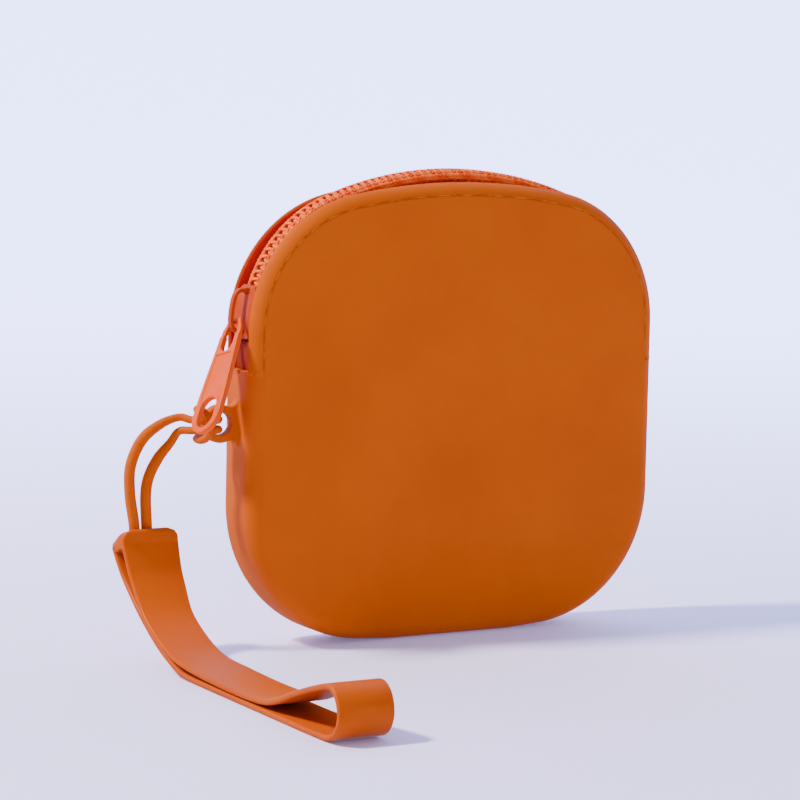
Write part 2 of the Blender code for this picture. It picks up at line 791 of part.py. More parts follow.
def make_cord():
    lug = Vector((lug_centre_x, 0, lug_centre_z))
    upper = [lug + Vector(step) for step in hitch_route]
    lower = [lug + Vector((x, y, -z)) for x, y, z in hitch_route[:-1]]
    route = strand_points(outer_strand) + upper + lower[::-1] + strand_points(inner_strand)[::-1]
    points = smooth_route(route, 76)
    shares = []
    for point in points:
        free = smooth_step((lug - point).length / cord_squeeze_reach - 1)
        shares.append(cord_hitch_share + (1 - cord_hitch_share) * free)
    length = sum((after - before).length for before, after in zip(points, points[1:]))
    print("strap_cord length, mm:", round(length * 1000, 1))
    return tube("strap_cord", points, cord_diameter / 2, 2, silicone, shares)


# Middle line of the folded band: shares of the strap's reach, back from its socket, and of the
# head's height, up from where its layer lies; the upper layer out to the end loop, the lower back
upper_layer_shares = ((-0.019, 0.793), (-0.045, 0.541), (-0.105, 0.282), (-0.203, 0.098),
                      (-0.295, 0.026), (-0.445, 0.000), (-0.595, 0.000), (-0.690, 0.038),
                      (-0.795, 0.180), (-0.885, 0.289), (-0.933, 0.323))
lower_layer_shares = ((-0.962, 0.301), (-0.968, 0.154), (-0.940, 0.030), (-0.875, 0.005),
                      (-0.745, 0.000), (-0.595, 0.000), (-0.445, 0.000), (-0.315, 0.004),
                      (-0.267, 0.030), (-0.175, 0.154), (-0.079, 0.361), (-0.003, 0.583),
                      (0.031, 0.782))


def layer_points(layer_shares, level):
    return [Vector((0, socket_middle_y + strap_reach * reach_share, level + head_top * rise_share))
            for reach_share, rise_share in layer_shares]


# The band widens to the left toward its head
def left_half_width(height):
    return band_width / 2 + head_flare * smooth_step(2 * height / head_top - 1)


def band_ring(point, normal):
    left = left_half_width(point.z)
    right = band_width / 2
    half = band_thickness / 2
    inner = half - band_edge / 2
    shape = ((-left, -inner), (band_edge - left, -half), (right - band_edge, -half), (right, -inner),
             (right, inner), (right - band_edge, half), (band_edge - left, half), (-left, inner))
    return [Vector((band_middle_x + x, point.y + normal.y * offset, point.z + normal.z * offset))
            for x, offset in shape]


def make_strap():
    lower_level = band_thickness / 2
    upper_level = lower_level + band_thickness + band_layer_gap
    route = layer_points(upper_layer_shares, upper_level) + layer_points(lower_layer_shares, lower_level)
    points = smooth_route(route, 84)
    rings = []
    for i, point in enumerate(points):
        before = points[max(i - 1, 0)]
        after = points[min(i + 1, len(points) - 1)]
        along = (after - before).normalized()
        rings.append(band_ring(point, Vector((0, -along.z, along.y))))
    strap = loft("wrist_strap", rings, strap_finish)
    length = sum((after - before).length for before, after in zip(points, points[1:]))
    print("wrist_strap band length, mm:", round(length * 1000, 1))
    head = make_head()
    boolean(strap, head, "UNION")
    boolean(strap, make_socket(), "DIFFERENCE")
    return strap


# Wedge-shaped head in which both ends of the band are moulded together round the cord, shares of
# its thickness, back from its socket, and of its height
head_shares = ((-0.474, 0.771), (-0.342, 0.883), (-0.303, 0.970), (-0.224, 1.000), (-0.092, 0.996),
               (0.066, 0.966), (0.461, 0.872), (0.526, 0.835), (0.474, 0.782), (0.329, 0.714),
               (0.039, 0.752), (-0.303, 0.759))


def make_head():
    right = band_width / 2
    outline_points = [(socket_middle_y + head_thickness * back_share, head_top * rise_share)
                      for back_share, rise_share in head_shares]
    middle_y = sum(y for y, z in outline_points) / len(outline_points)
    middle_z = sum(z for y, z in outline_points) / len(outline_points)
    rings = []
    shrink_share = 0.88
    for side, edge, share in ((-1, 0, shrink_share), (-1, band_edge, 1.0), (1, band_edge, 1.0),
                              (1, 0, shrink_share)):
        ring = []
        for y, z in outline_points:
            reach = (right if side > 0 else left_half_width(z)) - edge
            ring.append(Vector((band_middle_x + side * reach, middle_y + (y - middle_y) * share,
                                middle_z + (z - middle_z) * share)))
        rings.append(ring)
    return loft("head guide", rings)


def make_socket():
    quarter = math.radians(90)
    right = arc(socket_middle_x + socket_half_spread, socket_middle_y, socket_radius, -quarter, quarter, 8)
    left = arc(socket_middle_x - socket_half_spread, socket_middle_y, socket_radius, quarter, 3 * quarter, 8)
    levels = (head_top - socket_depth, head_top + cutter_reach)
    return loft("socket cutter", [[Vector((x, y, level)) for x, y in right + left] for level in levels])


make_shell()
make_tape("zip_tape_front", -1)
make_tape("zip_tape_back", 1)
make_coil("zip_coil_front", -1, 0.0)
make_coil("zip_coil_back", 1, 0.5)
make_core("zip_core_front", -1)
make_core("zip_core_back", 1)
make_stop("end_stop_left", stop_start + stop_length, -1)
make_stop("end_stop_right", zip_arch.length - stop_start - stop_length, 1)
make_slider()
make_crown()
make_pull()
make_cord()
make_strap()
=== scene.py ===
from math import acos, asin, atan2, copysign, cos, radians, sin, sqrt

import bmesh
import bpy
from mathutils import Matrix, Vector, noise


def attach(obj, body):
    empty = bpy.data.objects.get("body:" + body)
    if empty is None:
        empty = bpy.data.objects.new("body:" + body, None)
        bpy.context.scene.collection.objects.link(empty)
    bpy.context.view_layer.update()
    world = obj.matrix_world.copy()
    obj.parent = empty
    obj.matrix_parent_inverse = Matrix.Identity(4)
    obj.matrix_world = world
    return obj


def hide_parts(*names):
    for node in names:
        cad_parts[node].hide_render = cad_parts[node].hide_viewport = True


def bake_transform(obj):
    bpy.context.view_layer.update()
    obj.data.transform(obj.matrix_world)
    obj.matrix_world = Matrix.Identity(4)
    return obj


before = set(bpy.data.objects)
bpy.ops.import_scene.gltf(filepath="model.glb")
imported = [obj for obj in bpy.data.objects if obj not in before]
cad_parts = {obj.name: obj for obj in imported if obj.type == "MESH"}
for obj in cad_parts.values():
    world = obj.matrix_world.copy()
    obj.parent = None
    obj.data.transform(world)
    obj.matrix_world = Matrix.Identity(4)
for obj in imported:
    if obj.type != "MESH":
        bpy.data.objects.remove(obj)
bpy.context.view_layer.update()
mm = 0.001
quarterTurn = radians(90)
halfTurn = radians(180)
fullTurn = radians(360)


# Small tools that every piece uses

def inMetres(size):
    return tuple(inMetres(item) for item in size) if isinstance(size, tuple) else size * mm


def millimetres(**sizes):  # a piece's measures, written in millimetres and kept in metres
    return {name: inMetres(size) for name, size in sizes.items()}


def smoothStep(share):
    share = min(max(share, 0.0), 1.0)
    return share * share * (3 - 2 * share)


def mix(low, high, share):
    return low + (high - low) * share


def spread(low, high, steps):  # evenly spaced values, both ends among them
    return [mix(low, high, i / steps) for i in range(steps + 1)]


def squared(value, power):  # a sine or cosine made boxier, for a section with rounded corners
    return copysign(abs(value) ** power, value)


def arc(centre, radius, start, end, steps):
    angles = [start + (end - start) * i / steps for i in range(steps)]
    return [(centre[0] + radius * cos(a), centre[1] + radius * sin(a)) for a in angles]


def travelled(points):  # length of the way to each point
    lengths = [0.0]
    for before, after in zip(points, points[1:]):
        lengths.append(lengths[-1] + (after - before).length)
    return lengths


def smoothRoute(route, count):  # Catmull-Rom through given points, evenly by length
    lengths = travelled(route)
    padded = route[:1] + route + route[-1:]
    points = []
    k = 0
    for i in range(count):
        wanted = lengths[-1] * i / (count - 1)
        while k < len(route) - 2 and lengths[k + 1] < wanted:
            k += 1
        share = (wanted - lengths[k]) / (lengths[k + 1] - lengths[k])
        before, start, end, after = padded[k:k + 4]
        points.append(0.5 * (2 * start + (end - before) * share
                             + (2 * before - 5 * start + 4 * end - after) * share ** 2
                             + (3 * start - before - 3 * end + after) * share ** 3))
    return points


def linkObject(name, data, material=None, body=None):
    made = bpy.data.objects.new(name, data)
    bpy.context.scene.collection.objects.link(made)
    if material:
        data.materials.append(material)
    if body:
        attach(made, body)
    return made


def markSharp(data, sharpAngle):
    mesh = bmesh.new()
    mesh.from_mesh(data)
    for face in mesh.faces:
        face.smooth = True
    for edge in mesh.edges:
        edge.smooth = len(edge.link_faces) == 2 and edge.calc_face_angle(0) < radians(sharpAngle)
    mesh.to_mesh(data)
    mesh.free()


def meshFrom(mesh, name, sharpAngle):
    bmesh.ops.recalc_face_normals(mesh, faces=mesh.faces)
    data = bpy.data.meshes.new(name)
    mesh.to_mesh(data)
    mesh.free()
    markSharp(data, sharpAngle)
    return data


def bridge(mesh, rows, closed):  # faces between each row of vertices and the next
    for row, following in zip(rows, rows[1:]):
        for i in range(len(row) if closed else len(row) - 1):
            j = (i + 1) % len(row)
            mesh.faces.new((row[i], row[j], following[j], following[i]))


def loftMesh(name, rings, sharpAngle=50):
    mesh = bmesh.new()
    rows = [[mesh.verts.new(point) for point in ring] for ring in rings]
    bridge(mesh, rows, True)
    mesh.faces.new(rows[0])
    mesh.faces.new(rows[-1])
    return meshFrom(mesh, name, sharpAngle)


def loftObject(name, rings, material=None, body=None, slot=None):
    return linkObject(name, loftMesh(name, rings), material, body)


def makeCloth(name, distances, rings, material, across=None):  # its UV map runs in metres
    data = loftMesh(name, rings, sharpAngle=60)
    along = [distance for distance in distances for point in rings[0]]
    around = [reach for ring in rings for reach in across or travelled(ring)]
    layer = data.uv_layers.new(name="flow")
    for loop in data.loops:
        layer.data[loop.index].uv = (along[loop.vertex_index], around[loop.vertex_index])
    return linkObject(name, data, material, "pouch")


def wire(name, points, radius, sides, material, body, shares=None):
    data = bpy.data.curves.new(name, "CURVE")
    data.dimensions = "3D"
    data.bevel_depth = radius
    data.bevel_resolution = sides
    data.use_fill_caps = True
    spline = data.splines.new("POLY")
    spline.points.add(len(points) - 1)
    for i, point in enumerate(points):
        spline.points[i].co = (*point, 1.0)
        spline.points[i].radius = shares[i] if shares else 1.0
    return linkObject(name, data, material, body)


def bake(made, sharpAngle=35):  # modifiers into the mesh, cutters away, shading by angle
    cutters = [step.object for step in made.modifiers if step.type == "BOOLEAN"]
    graph = bpy.context.evaluated_depsgraph_get()
    data = bpy.data.meshes.new_from_object(made.evaluated_get(graph))
    made.modifiers.clear()
    made.data = data
    for cutter in cutters:
        bpy.data.objects.remove(cutter, do_unlink=True)
    markSharp(data, sharpAngle)


def boolean(target, cutter, operation):
    step = target.modifiers.new(cutter.name, "BOOLEAN")
    step.operation = operation
    step.solver = "EXACT"
    step.object = cutter


def soften(target, width, angle=35):
    step = target.modifiers.new("soft edge", "BEVEL")
    step.width = width
    step.segments = 3
    step.limit_method = "ANGLE"
    step.angle_limit = radians(angle)


# Materials

def linearColour(code):
    channels = [int(code[i:i + 2], 16) / 255 for i in (1, 3, 5)]
    linear = [c / 12.92 if c <= 0.04045 else ((c + 0.055) / 1.055) ** 2.4 for c in channels]
    return (*linear, 1.0)


def addNode(tree, kind, settings=None, links=None):
    node = tree.nodes.new(kind)
    for key, value in (settings or {}).items():
        if isinstance(key, str) and hasattr(node, key):
            setattr(node, key, value)
        else:
            node.inputs[key].default_value = value
    for key, socket in (links or {}).items():
        tree.links.new(socket, node.inputs[key])
    return node


def newMaterial(name, settings):
    material = bpy.data.materials.new(name)
    material.use_nodes = True
    tree = material.node_tree
    shader = tree.nodes["Principled BSDF"]
    for key, value in settings.items():
        shader.inputs[key].default_value = value
    return material, tree, shader


def finishShader(tree, shader, tone, colours, gloss=None, relief=None):
    # tone is a pattern between two colours, gloss (pattern, low, high), relief (pattern, strength, depth)
    ramp = addNode(tree, "ShaderNodeValToRGB", {}, {"Fac": tone})
    for element, colour, position in zip(ramp.color_ramp.elements, colours, (0.3, 0.7)):
        element.color = linearColour(colour)
        element.position = position
    tree.links.new(ramp.outputs["Color"], shader.inputs["Base Color"])
    if gloss:
        pattern, low, high = gloss
        level = addNode(tree, "ShaderNodeMapRange", {"To Min": low, "To Max": high}, {"Value": pattern})
        tree.links.new(level.outputs["Result"], shader.inputs["Roughness"])
    if relief:
        pattern, strength, depth = relief
        bump = addNode(tree, "ShaderNodeBump", {"Strength": strength, "Distance": depth}, {"Height": pattern})
        tree.links.new(bump.outputs["Normal"], shader.inputs["Normal"])


silicone = {
    "body": {"colours": ("#b74f06", "#c15608"), "roughness": 0.5, "specular": 0.12},
    "strap": {"colours": ("#b14702", "#bb4e03"), "roughness": 0.36, "specular": 0.3},
    "tint": (1.0, 0.4, 0.1, 1.0), "scatter": (1.0, 0.25, 0.05), "bump": 0.35,
    **millimetres(cloud=26, grain=0.35, grainDepth=0.012, scatterScale=1.4),
}


# Silicone rubber, moulded in a spark-eroded tool: a soft, dry sheen over a very fine even grain
def mouldedSilicone(part):
    look = silicone[part]
    material, tree, shader = newMaterial("moulded silicone " + part, {
        "Roughness": look["roughness"], "IOR": 1.42, "Specular Tint": silicone["tint"],
        "Specular IOR Level": look["specular"], "Subsurface Weight": 0.12,
        "Subsurface Radius": silicone["scatter"], "Subsurface Scale": silicone["scatterScale"]})
    place = addNode(tree, "ShaderNodeTexCoord").outputs["Object"]
    cloud, grain = [
        addNode(tree, "ShaderNodeTexNoise", {"Scale": 1 / silicone[key], "Detail": detail},
                {"Vector": place}).outputs["Fac"] for key, detail in (("cloud", 3.0), ("grain", 2.0))]
    finishShader(tree, shader, cloud, look["colours"],
                 (grain, look["roughness"] - 0.05, look["roughness"] + 0.06),
                 (grain, silicone["bump"], silicone["grainDepth"]))
    return material


# folded: a darker copy of the tape's colours, painted shade for the sheets over the last teeth
# under: a lighter copy of the tape's colours, painted light that shows in the gaps between the teeth
weave = {"facing": ("#a0180c", "#c42414"), "folded": ("#6e1c08", "#8c280c"), "under": ("#d83c0e", "#ec5418"),
         "bump": 0.8, **millimetres(spacing=0.45, depth=0.06)}


# Polyester tape, woven: ribs along the tape and picks across it, drawn a little coarse so they show
def wovenTape(name, colours):
    material, tree, shader = newMaterial(name, {
        "Roughness": 0.85, "IOR": 1.5, "Specular IOR Level": 0.2, "Specular Tint": (1.0, 0.4, 0.3, 1.0)})
    flow = addNode(tree, "ShaderNodeUVMap", {"uv_map": "flow"}).outputs["UV"]
    parts = addNode(tree, "ShaderNodeSeparateXYZ", {}, {"Vector": flow})
    waves = []
    for axis in "XY":
        turns = addNode(tree, "ShaderNodeMath", {"operation": "MULTIPLY", 1: fullTurn / weave["spacing"]},
                        {0: parts.outputs[axis]})
        waves.append(addNode(tree, "ShaderNodeMath", {"operation": "SINE"}, {0: turns.outputs[0]}))
    check = addNode(tree, "ShaderNodeMath", {"operation": "MULTIPLY"},
                    {0: waves[0].outputs[0], 1: waves[1].outputs[0]})
    height = addNode(tree, "ShaderNodeMapRange", {"From Min": -1.0, "From Max": 1.0},
                     {"Value": check.outputs[0]}).outputs["Result"]
    finishShader(tree, shader, height, colours, relief=(height, weave["bump"], weave["depth"]))
    return material


nylon = {"colours": ("#ee5c16", "#fb7426"), "tint": (1.0, 0.5, 0.25, 1.0), "scatter": (1.0, 0.4, 0.2),
         "gloss": (0.28, 0.42), **millimetres(cloud=3.0, scatterScale=0.5)}


# Nylon wire, drawn and dyed: smooth and slightly see-through, so light glows in its edges
def drawnNylon():
    material, tree, shader = newMaterial("drawn nylon wire", {
        "Roughness": 0.34, "IOR": 1.53, "Specular IOR Level": 0.3, "Specular Tint": nylon["tint"],
        "Subsurface Weight": 0.18, "Subsurface Radius": nylon["scatter"],
        "Subsurface Scale": nylon["scatterScale"]})
    place = addNode(tree, "ShaderNodeTexCoord").outputs["Object"]
    cloud = addNode(tree, "ShaderNodeTexNoise", {"Scale": 1 / nylon["cloud"], "Detail": 2.0},
                    {"Vector": place}).outputs["Fac"]
    finishShader(tree, shader, cloud, nylon["colours"], (cloud, *nylon["gloss"]))
    return material


thread = {"seam": ("#a84c0c", "#c86418"), "zip": ("#e85614", "#f47228"), "plies": 100, "bump": 0.6,
          **millimetres(depth=0.05)}


# Polyester thread, spun and twisted: fine slanting plies, drawn coarse enough to show
def spunThread(part):
    material, tree, shader = newMaterial("spun " + part + " thread", {
        "Roughness": 0.65, "IOR": 1.5, "Specular IOR Level": 0.1, "Specular Tint": (1.0, 0.4, 0.2, 1.0)})
    place = addNode(tree, "ShaderNodeTexCoord").outputs["Object"]
    plies = addNode(tree, "ShaderNodeTexWave",
                    {"bands_direction": "DIAGONAL", "Scale": thread["plies"], "Distortion": 1.0},
                    {"Vector": place}).outputs["Fac"]
    finishShader(tree, shader, plies, thread[part], relief=(plies, thread["bump"], thread["depth"]))
    return material


# slider: a darker copy of the pull's enamel, painted shade on the slider body and crown
enamel = {"pull": ("#da4a04", "#e25208"), "slider": ("#ac3404", "#b63c06"), "tint": (1.0, 0.45, 0.2, 1.0),
          "gloss": (0.24, 0.38), "bump": 0.25, **millimetres(peel=0.6, cloud=4.0, depth=0.01)}


# Zinc, die-cast and stove-enamelled: a thin even gloss with a faint orange peel
def enamelledZinc(part):
    material, tree, shader = newMaterial("stove enamelled " + part, {
        "Roughness": 0.34, "IOR": 1.5, "Specular IOR Level": 0.3, "Specular Tint": enamel["tint"]})
    place = addNode(tree, "ShaderNodeTexCoord").outputs["Object"]
    peel, cloud = [
        addNode(tree, "ShaderNodeTexNoise", {"Scale": 1 / enamel[key], "Detail": detail},
                {"Vector": place}).outputs["Fac"] for key, detail in (("peel", 1.0), ("cloud", 3.0))]
    finishShader(tree, shader, cloud, enamel[part], (cloud, *enamel["gloss"]),
                 (peel, enamel["bump"], enamel["depth"]))
    return material


bodySilicone = mouldedSilicone("body")
strapSilicone = mouldedSilicone("strap")
tapeCloth = wovenTape("woven polyester tape", weave["facing"])
# the tape under the teeth is a lighter copy of the tape cloth: painted light in the gaps between the teeth
underClothPaintedLight = wovenTape("woven polyester tape under the teeth, painted light", weave["under"])
# the sheets over the last teeth use a darker copy of the tape cloth: painted shade
foldedTapePaintedShade = wovenTape("folded polyester tape, painted shade", weave["folded"])
coilNylon = drawnNylon()
seamThread = spunThread("seam")
rowThread = spunThread("zip")
# the slider's enamel is a darker copy of the pull's: painted shade
sliderEnamelPaintedShade = enamelledZinc("slider")
pullEnamel = enamelledZinc("pull")
print("materials made")


# Camera, from the outline of the body in the photograph
view = {"position": (-0.34946, -0.60066, 0.13471), "yaw": radians(29.4), "rise": radians(6.85),
        "roll": radians(1.17), "lens": 142.9, "sensor": 36.0, "near": 0.01}


def makeCamera():
    yaw, rise, roll = view["yaw"], view["rise"], view["roll"]
    ahead = Vector((sin(yaw) * cos(rise), cos(yaw) * cos(rise), -sin(rise)))
    right = Vector((cos(yaw), -sin(yaw), 0))
    up = right.cross(ahead)
    right, up = right * cos(roll) + up * sin(roll), up * cos(roll) - right * sin(roll)
    data = bpy.data.cameras.new("camera")
    data.lens = view["lens"]
    data.sensor_width = view["sensor"]
    data.clip_start = view["near"]
    made = linkObject("camera", data)
    turn = Matrix((right, up, -ahead)).transposed().to_4x4()
    made.matrix_world = Matrix.Translation(Vector(view["position"])) @ turn
    bpy.context.scene.camera = made


makeCamera()

# Strap cord: hitched round the outer side of the lug, both ends moulded into the strap's head.
# Its two strands are millimetres across from the lug and back, then a share of the rise to it.
cord = {
    "hitchShare": 0.71, "points": 150,
    **millimetres(
        diameter=2.4, lug=(-54.85, 0, 48.65), foot=23.6, squeeze=8.2,
        hitch=((-8.6, 1.9, 1.5), (-6.9, -0.1, 1.15), (-5.3, -1.75, 1.05), (-3.4, -2.3, 1.05),
               (-1.6, -2.05, 1.05), (-0.7, -1.15, 1.08), (-0.45, 0, 1.12), (-0.7, 1.15, 1.3),
               (-1.7, 2.2, 1.9), (-3.3, 2.35, 2.7), (-4.6, 1.4, 3.1), (-5.1, 0, 3.15),
               (-5.1, -1.8, 3.1), (-4.75, -3.3, 2.6), (-4.35, -4.1, 1.4), (-4.25, -4.3, 0))),
    "outer": ((-17.35, 4.5, 0.0), (-17.55, 4.5, 0.156), (-18.65, 4.3, 0.415), (-18.65, 4.1, 0.655),
              (-16.25, 3.7, 0.874), (-12.35, 3.0, 1.002)),
    "inner": ((-14.45, 4.5, 0.0), (-14.65, 4.5, 0.156), (-14.95, 4.4, 0.395), (-14.35, 4.2, 0.555),
              (-12.35, 3.8, 0.715), (-9.95, 3.0, 0.842)),
}


def strandPoints(lug, strand):
    return [Vector((lug.x + x * mm, y * mm, mix(cord["foot"], lug.z, share))) for x, y, share in strand]


def makeCord():
    lug = Vector(cord["lug"])
    upper = [lug + Vector(step) for step in cord["hitch"]]
    lower = [lug + Vector((x, y, -z)) for x, y, z in cord["hitch"][:-1]]
    route = strandPoints(lug, cord["outer"]) + upper + lower[::-1] + strandPoints(lug, cord["inner"])[::-1]
    points = smoothRoute(route, cord["points"])
    shares = []
    for point in points:  # thinner where the hitch presses it
        free = smoothStep((lug - point).length / cord["squeeze"] - 1)
        shares.append(mix(cord["hitchShare"], 1.0, free))
    made = wire("cordLoop", points, cord["diameter"] / 2, 6, bodySilicone, "cord", shares)
    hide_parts("strap_cord")
    length = travelled(points)[-1]
    print("cord made, mm:", round(length / mm, 1))


makeCord()

# Body shell: outline, wall and mouth. Its rims are pairs of inset from the outline and depth, and
# each panel swells a little, by a share that wavers with this many waves to the metre.
body = {"waver": 0.4, "waves": 28, **millimetres(
    half=51, height=100, depthHalf=7.1, corner=30, upperCorner=68, lowerCorner=30.46, footSag=0.39,
    fillet=3.6, mouthEnd=60, lipStart=5.0, grooveInset=3.0, grooveHalf=0.3, grooveDepth=0.2, swell=0.25,
    swellRun=20, weld=0.002, face=(26, 22, 18, 14, 10.5, 8, 6, 4.8), wallInner=((1.85, 3.9), (1.8, 2.5)),
    lip=((0.4, 4.82), (0.55, 4.67), (0.82, 4.6), (1.5, 4.6)),
    lining=((2.18, 4.6), (2.6, 4.97), (3.6, 5.3), (10, 5.3), (22, 5.3)))}


def crestRadius(offset, rise, radius):  # shallow arc through a crest, tangent to both corner arcs
    return (offset ** 2 + rise ** 2 - radius ** 2) / (2 * (rise - radius))


def archParts(arch):  # the corner's offset, the crest's radius and turn, the lengths of side and corner
    offset = arch["half"] - arch["radius"]
    crest = crestRadius(offset, arch["apex"] - body["upperCorner"], arch["radius"])
    turn = atan2(offset, body["upperCorner"] - arch["apex"] + crest)
    return offset, crest, turn, body["upperCorner"] - body["mouthEnd"], arch["radius"] * (quarterTurn - turn)


def archAt(arch, distance):  # point and outward normal at a distance from the arch's left end
    offset, crest, turn, side, corner = archParts(arch)
    length = 2 * (side + corner) + 2 * crest * turn
    if distance > length / 2:
        point, normal = archAt(arch, length - distance)
        return Vector((-point.x, 0, point.z)), Vector((-normal.x, 0, normal.z))
    if distance < side:
        return Vector((-arch["half"], 0, body["mouthEnd"] + distance)), Vector((-1, 0, 0))
    if distance < side + corner:
        angle = (distance - side) / arch["radius"]
        centre, reach = Vector((-offset, 0, body["upperCorner"])), arch["radius"]
    else:
        angle = quarterTurn - turn + (distance - side - corner) / crest
        centre, reach = Vector((0, 0, arch["apex"] - crest)), crest
    normal = Vector((-cos(angle), 0, sin(angle)))
    return centre + normal * reach, normal


def archMarks(arch):  # the distances at which side, corner, crest, corner and side end
    offset, crest, turn, side, corner = archParts(arch)
    marks = [0]
    for span in (side, corner, 2 * crest * turn, corner, side):
        marks.append(marks[-1] + span)
    return marks


lipArch = {"half": body["half"], "radius": body["corner"], "apex": body["height"]}
zipArch = millimetres(half=47.9, radius=29.5, apex=101)
lipMarks = archMarks(lipArch)
zipMarks = archMarks(zipArch)


def matched(distance):  # the distance on the lip's arch that faces this distance on the zip's
    if distance <= 0:
        return distance
    for start, end, lipStart, lipEnd in zip(zipMarks, zipMarks[1:], lipMarks, lipMarks[1:]):
        if distance <= end:
            return mix(lipStart, lipEnd, (distance - start) / (end - start))
    return lipMarks[-1] + distance - zipMarks[-1]


def outlineStations():  # round the body from the left end of the mouth, with outward normals
    stations = []
    for start, end, steps in zip(lipMarks, lipMarks[1:], (5, 26, 40, 26, 5)):
        stations += [archAt(lipArch, distance) for distance in spread(start, end, steps)[:-1]]
    mouthCount = len(stations)
    offset = body["half"] - body["corner"]
    sole = crestRadius(offset, body["lowerCorner"] + body["footSag"], body["corner"])
    soleHeight = sole - body["footSag"]
    turn = atan2(soleHeight - body["lowerCorner"], offset)

    def goStraight(side, start, end):
        for height in spread(start, end, 12)[:-1]:
            stations.append((Vector((side * body["half"], 0, height)), Vector((side, 0, 0))))

    def goRound(x, z, radius, start, end, steps):
        for angle in spread(start, end, steps)[:-1]:
            normal = Vector((cos(angle), 0, sin(angle)))
            stations.append((Vector((x, 0, z)) + normal * radius, normal))

    goStraight(1, body["mouthEnd"], body["lowerCorner"])
    goRound(offset, body["lowerCorner"], body["corner"], 0, -turn, 26)
    goRound(0, soleHeight, sole, -turn, turn - halfTurn, 30)
    goRound(-offset, body["lowerCorner"], body["corner"], turn - halfTurn, -halfTurn, 26)
    goStraight(-1, body["lowerCorner"], body["mouthEnd"])
    return stations, mouthCount


def filletPoint(angle):  # inset and depth on the rounded edge between side wall and panel
    depth = body["depthHalf"] - body["fillet"] + body["fillet"] * sin(angle)
    return body["fillet"] * (1 - cos(angle)), depth


seamAngle = acos(1 - body["grooveInset"] / body["fillet"])


def makeShell():
    stations, mouthCount = outlineStations()
    count = len(stations)
    lipAngle = asin((body["lipStart"] - body["depthHalf"] + body["fillet"]) / body["fillet"])
    reach = 1.2 * body["grooveHalf"] / body["fillet"]
    angles = [quarterTurn] + [seamAngle + reach * (1 - i / 5) for i in range(11)]
    angles += spread(seamAngle - reach, lipAngle, 12)[1:]
    outer = [(inset, body["depthHalf"]) for inset in body["face"]] + [filletPoint(angle) for angle in angles]
    wallOuter = [filletPoint(lipAngle * (1 - i / 4)) for i in range(1, 5)]
    rim = [outer[-1]] + wallOuter
    lip = list(body["lip"])
    lining = list(body["lining"])
    bed = lining[:1] + list(body["wallInner"])
    mesh = bmesh.new()

    def place(index, inset, depth, side, groove=False):
        point, normal = stations[index]
        spot = point - normal * inset
        spot.z = max(spot.z, inset)
        if inset > body["fillet"]:
            near = smoothStep((inset - body["fillet"]) / body["swellRun"])
            wave = noise.noise(Vector((spot.x * body["waves"], side, spot.z * body["waves"])))
            depth += body["swell"] * near * mix(1, wave, body["waver"])
        if groove:
            away = abs(inset - body["grooveInset"]) / body["grooveHalf"]
            depth -= body["grooveDepth"] * (1 - smoothStep(away))
        return mesh.verts.new((spot.x, side * depth, spot.z))

    def grid(columns, indices, side, groove=False):
        made = [[place(index, inset, depth, side, groove and index <= mouthCount)
                 for inset, depth in columns] for index in indices]
        bridge(mesh, made + made[:1] if len(made) == count else made, False)
        return made

    everywhere = list(range(count))
    mouth = list(range(mouthCount + 1))
    lower = list(range(mouthCount, count)) + [0]
    for side in (-1, 1):
        skin = grid(outer, everywhere, side, groove=True)
        mesh.faces.new([row[0] for row in skin])
        inside = grid(lining, everywhere, side)
        mesh.faces.new([row[-1] for row in inside])
        grid([outer[-1]] + lip + lining[:1], mouth, side)
        grid(rim, lower, side)
        grid(bed, lower, side)
    for inset, depth in (rim[-1], bed[-1]):
        bridge(mesh, [[place(index, inset, depth * share, 1) for share in (-1, -0.5, 0, 0.5, 1)]
                      for index in lower], False)
    section = [(inset, -depth) for inset, depth in rim]  # the cut face at both ends of the mouth
    section += [(rim[-1][0], rim[-1][1] * share) for share in (-0.5, 0, 0.5)]
    section += rim[::-1] + lip + bed
    section += [(bed[-1][0], bed[-1][1] * share) for share in (0.5, 0, -0.5)]
    section += [(inset, -depth) for inset, depth in bed[::-1] + lip[::-1]]
    for index in (0, mouthCount):
        mesh.faces.new([place(index, inset, depth, 1) for inset, depth in section])
    bmesh.ops.remove_doubles(mesh, verts=mesh.verts, dist=body["weld"])
    made = linkObject("pouchShell", meshFrom(mesh, "pouchShell", 45), bodySilicone, "pouch")
    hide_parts("pouch_shell")


makeShell()

# Lug: a moulded eye whose root runs into the side wall with two hollow fillets
lug = millimetres(centre=(-54.85, 48.65), radius=4.1, hole=2.35, half=1.25, rootFillet=1.8, rootDepth=1.0,
                  edge=0.5, faceFillet=1.1, rootRun=5.0, sunk=0.3, boreReach=0.4)


def lugOutline(inset):
    filletX = -body["half"] - lug["rootFillet"]
    reach = lug["radius"] + lug["rootFillet"]
    x, z = lug["centre"]
    rise = sqrt(reach ** 2 - (filletX - x) ** 2)
    lean = atan2(rise, filletX - x)
    hollow = lug["rootFillet"] + inset
    points = arc((filletX, z + rise), hollow, 0, lean - halfTurn, 12)
    points += arc((x, z), lug["radius"] - inset, lean, fullTurn - lean, 48)
    points += arc((filletX, z - rise), hollow, halfTurn - lean, 0, 12)
    rootX = -body["half"] + lug["rootDepth"]
    return points + [(-body["half"] + inset, z - rise), (rootX, z - rise), (rootX, z + rise)]


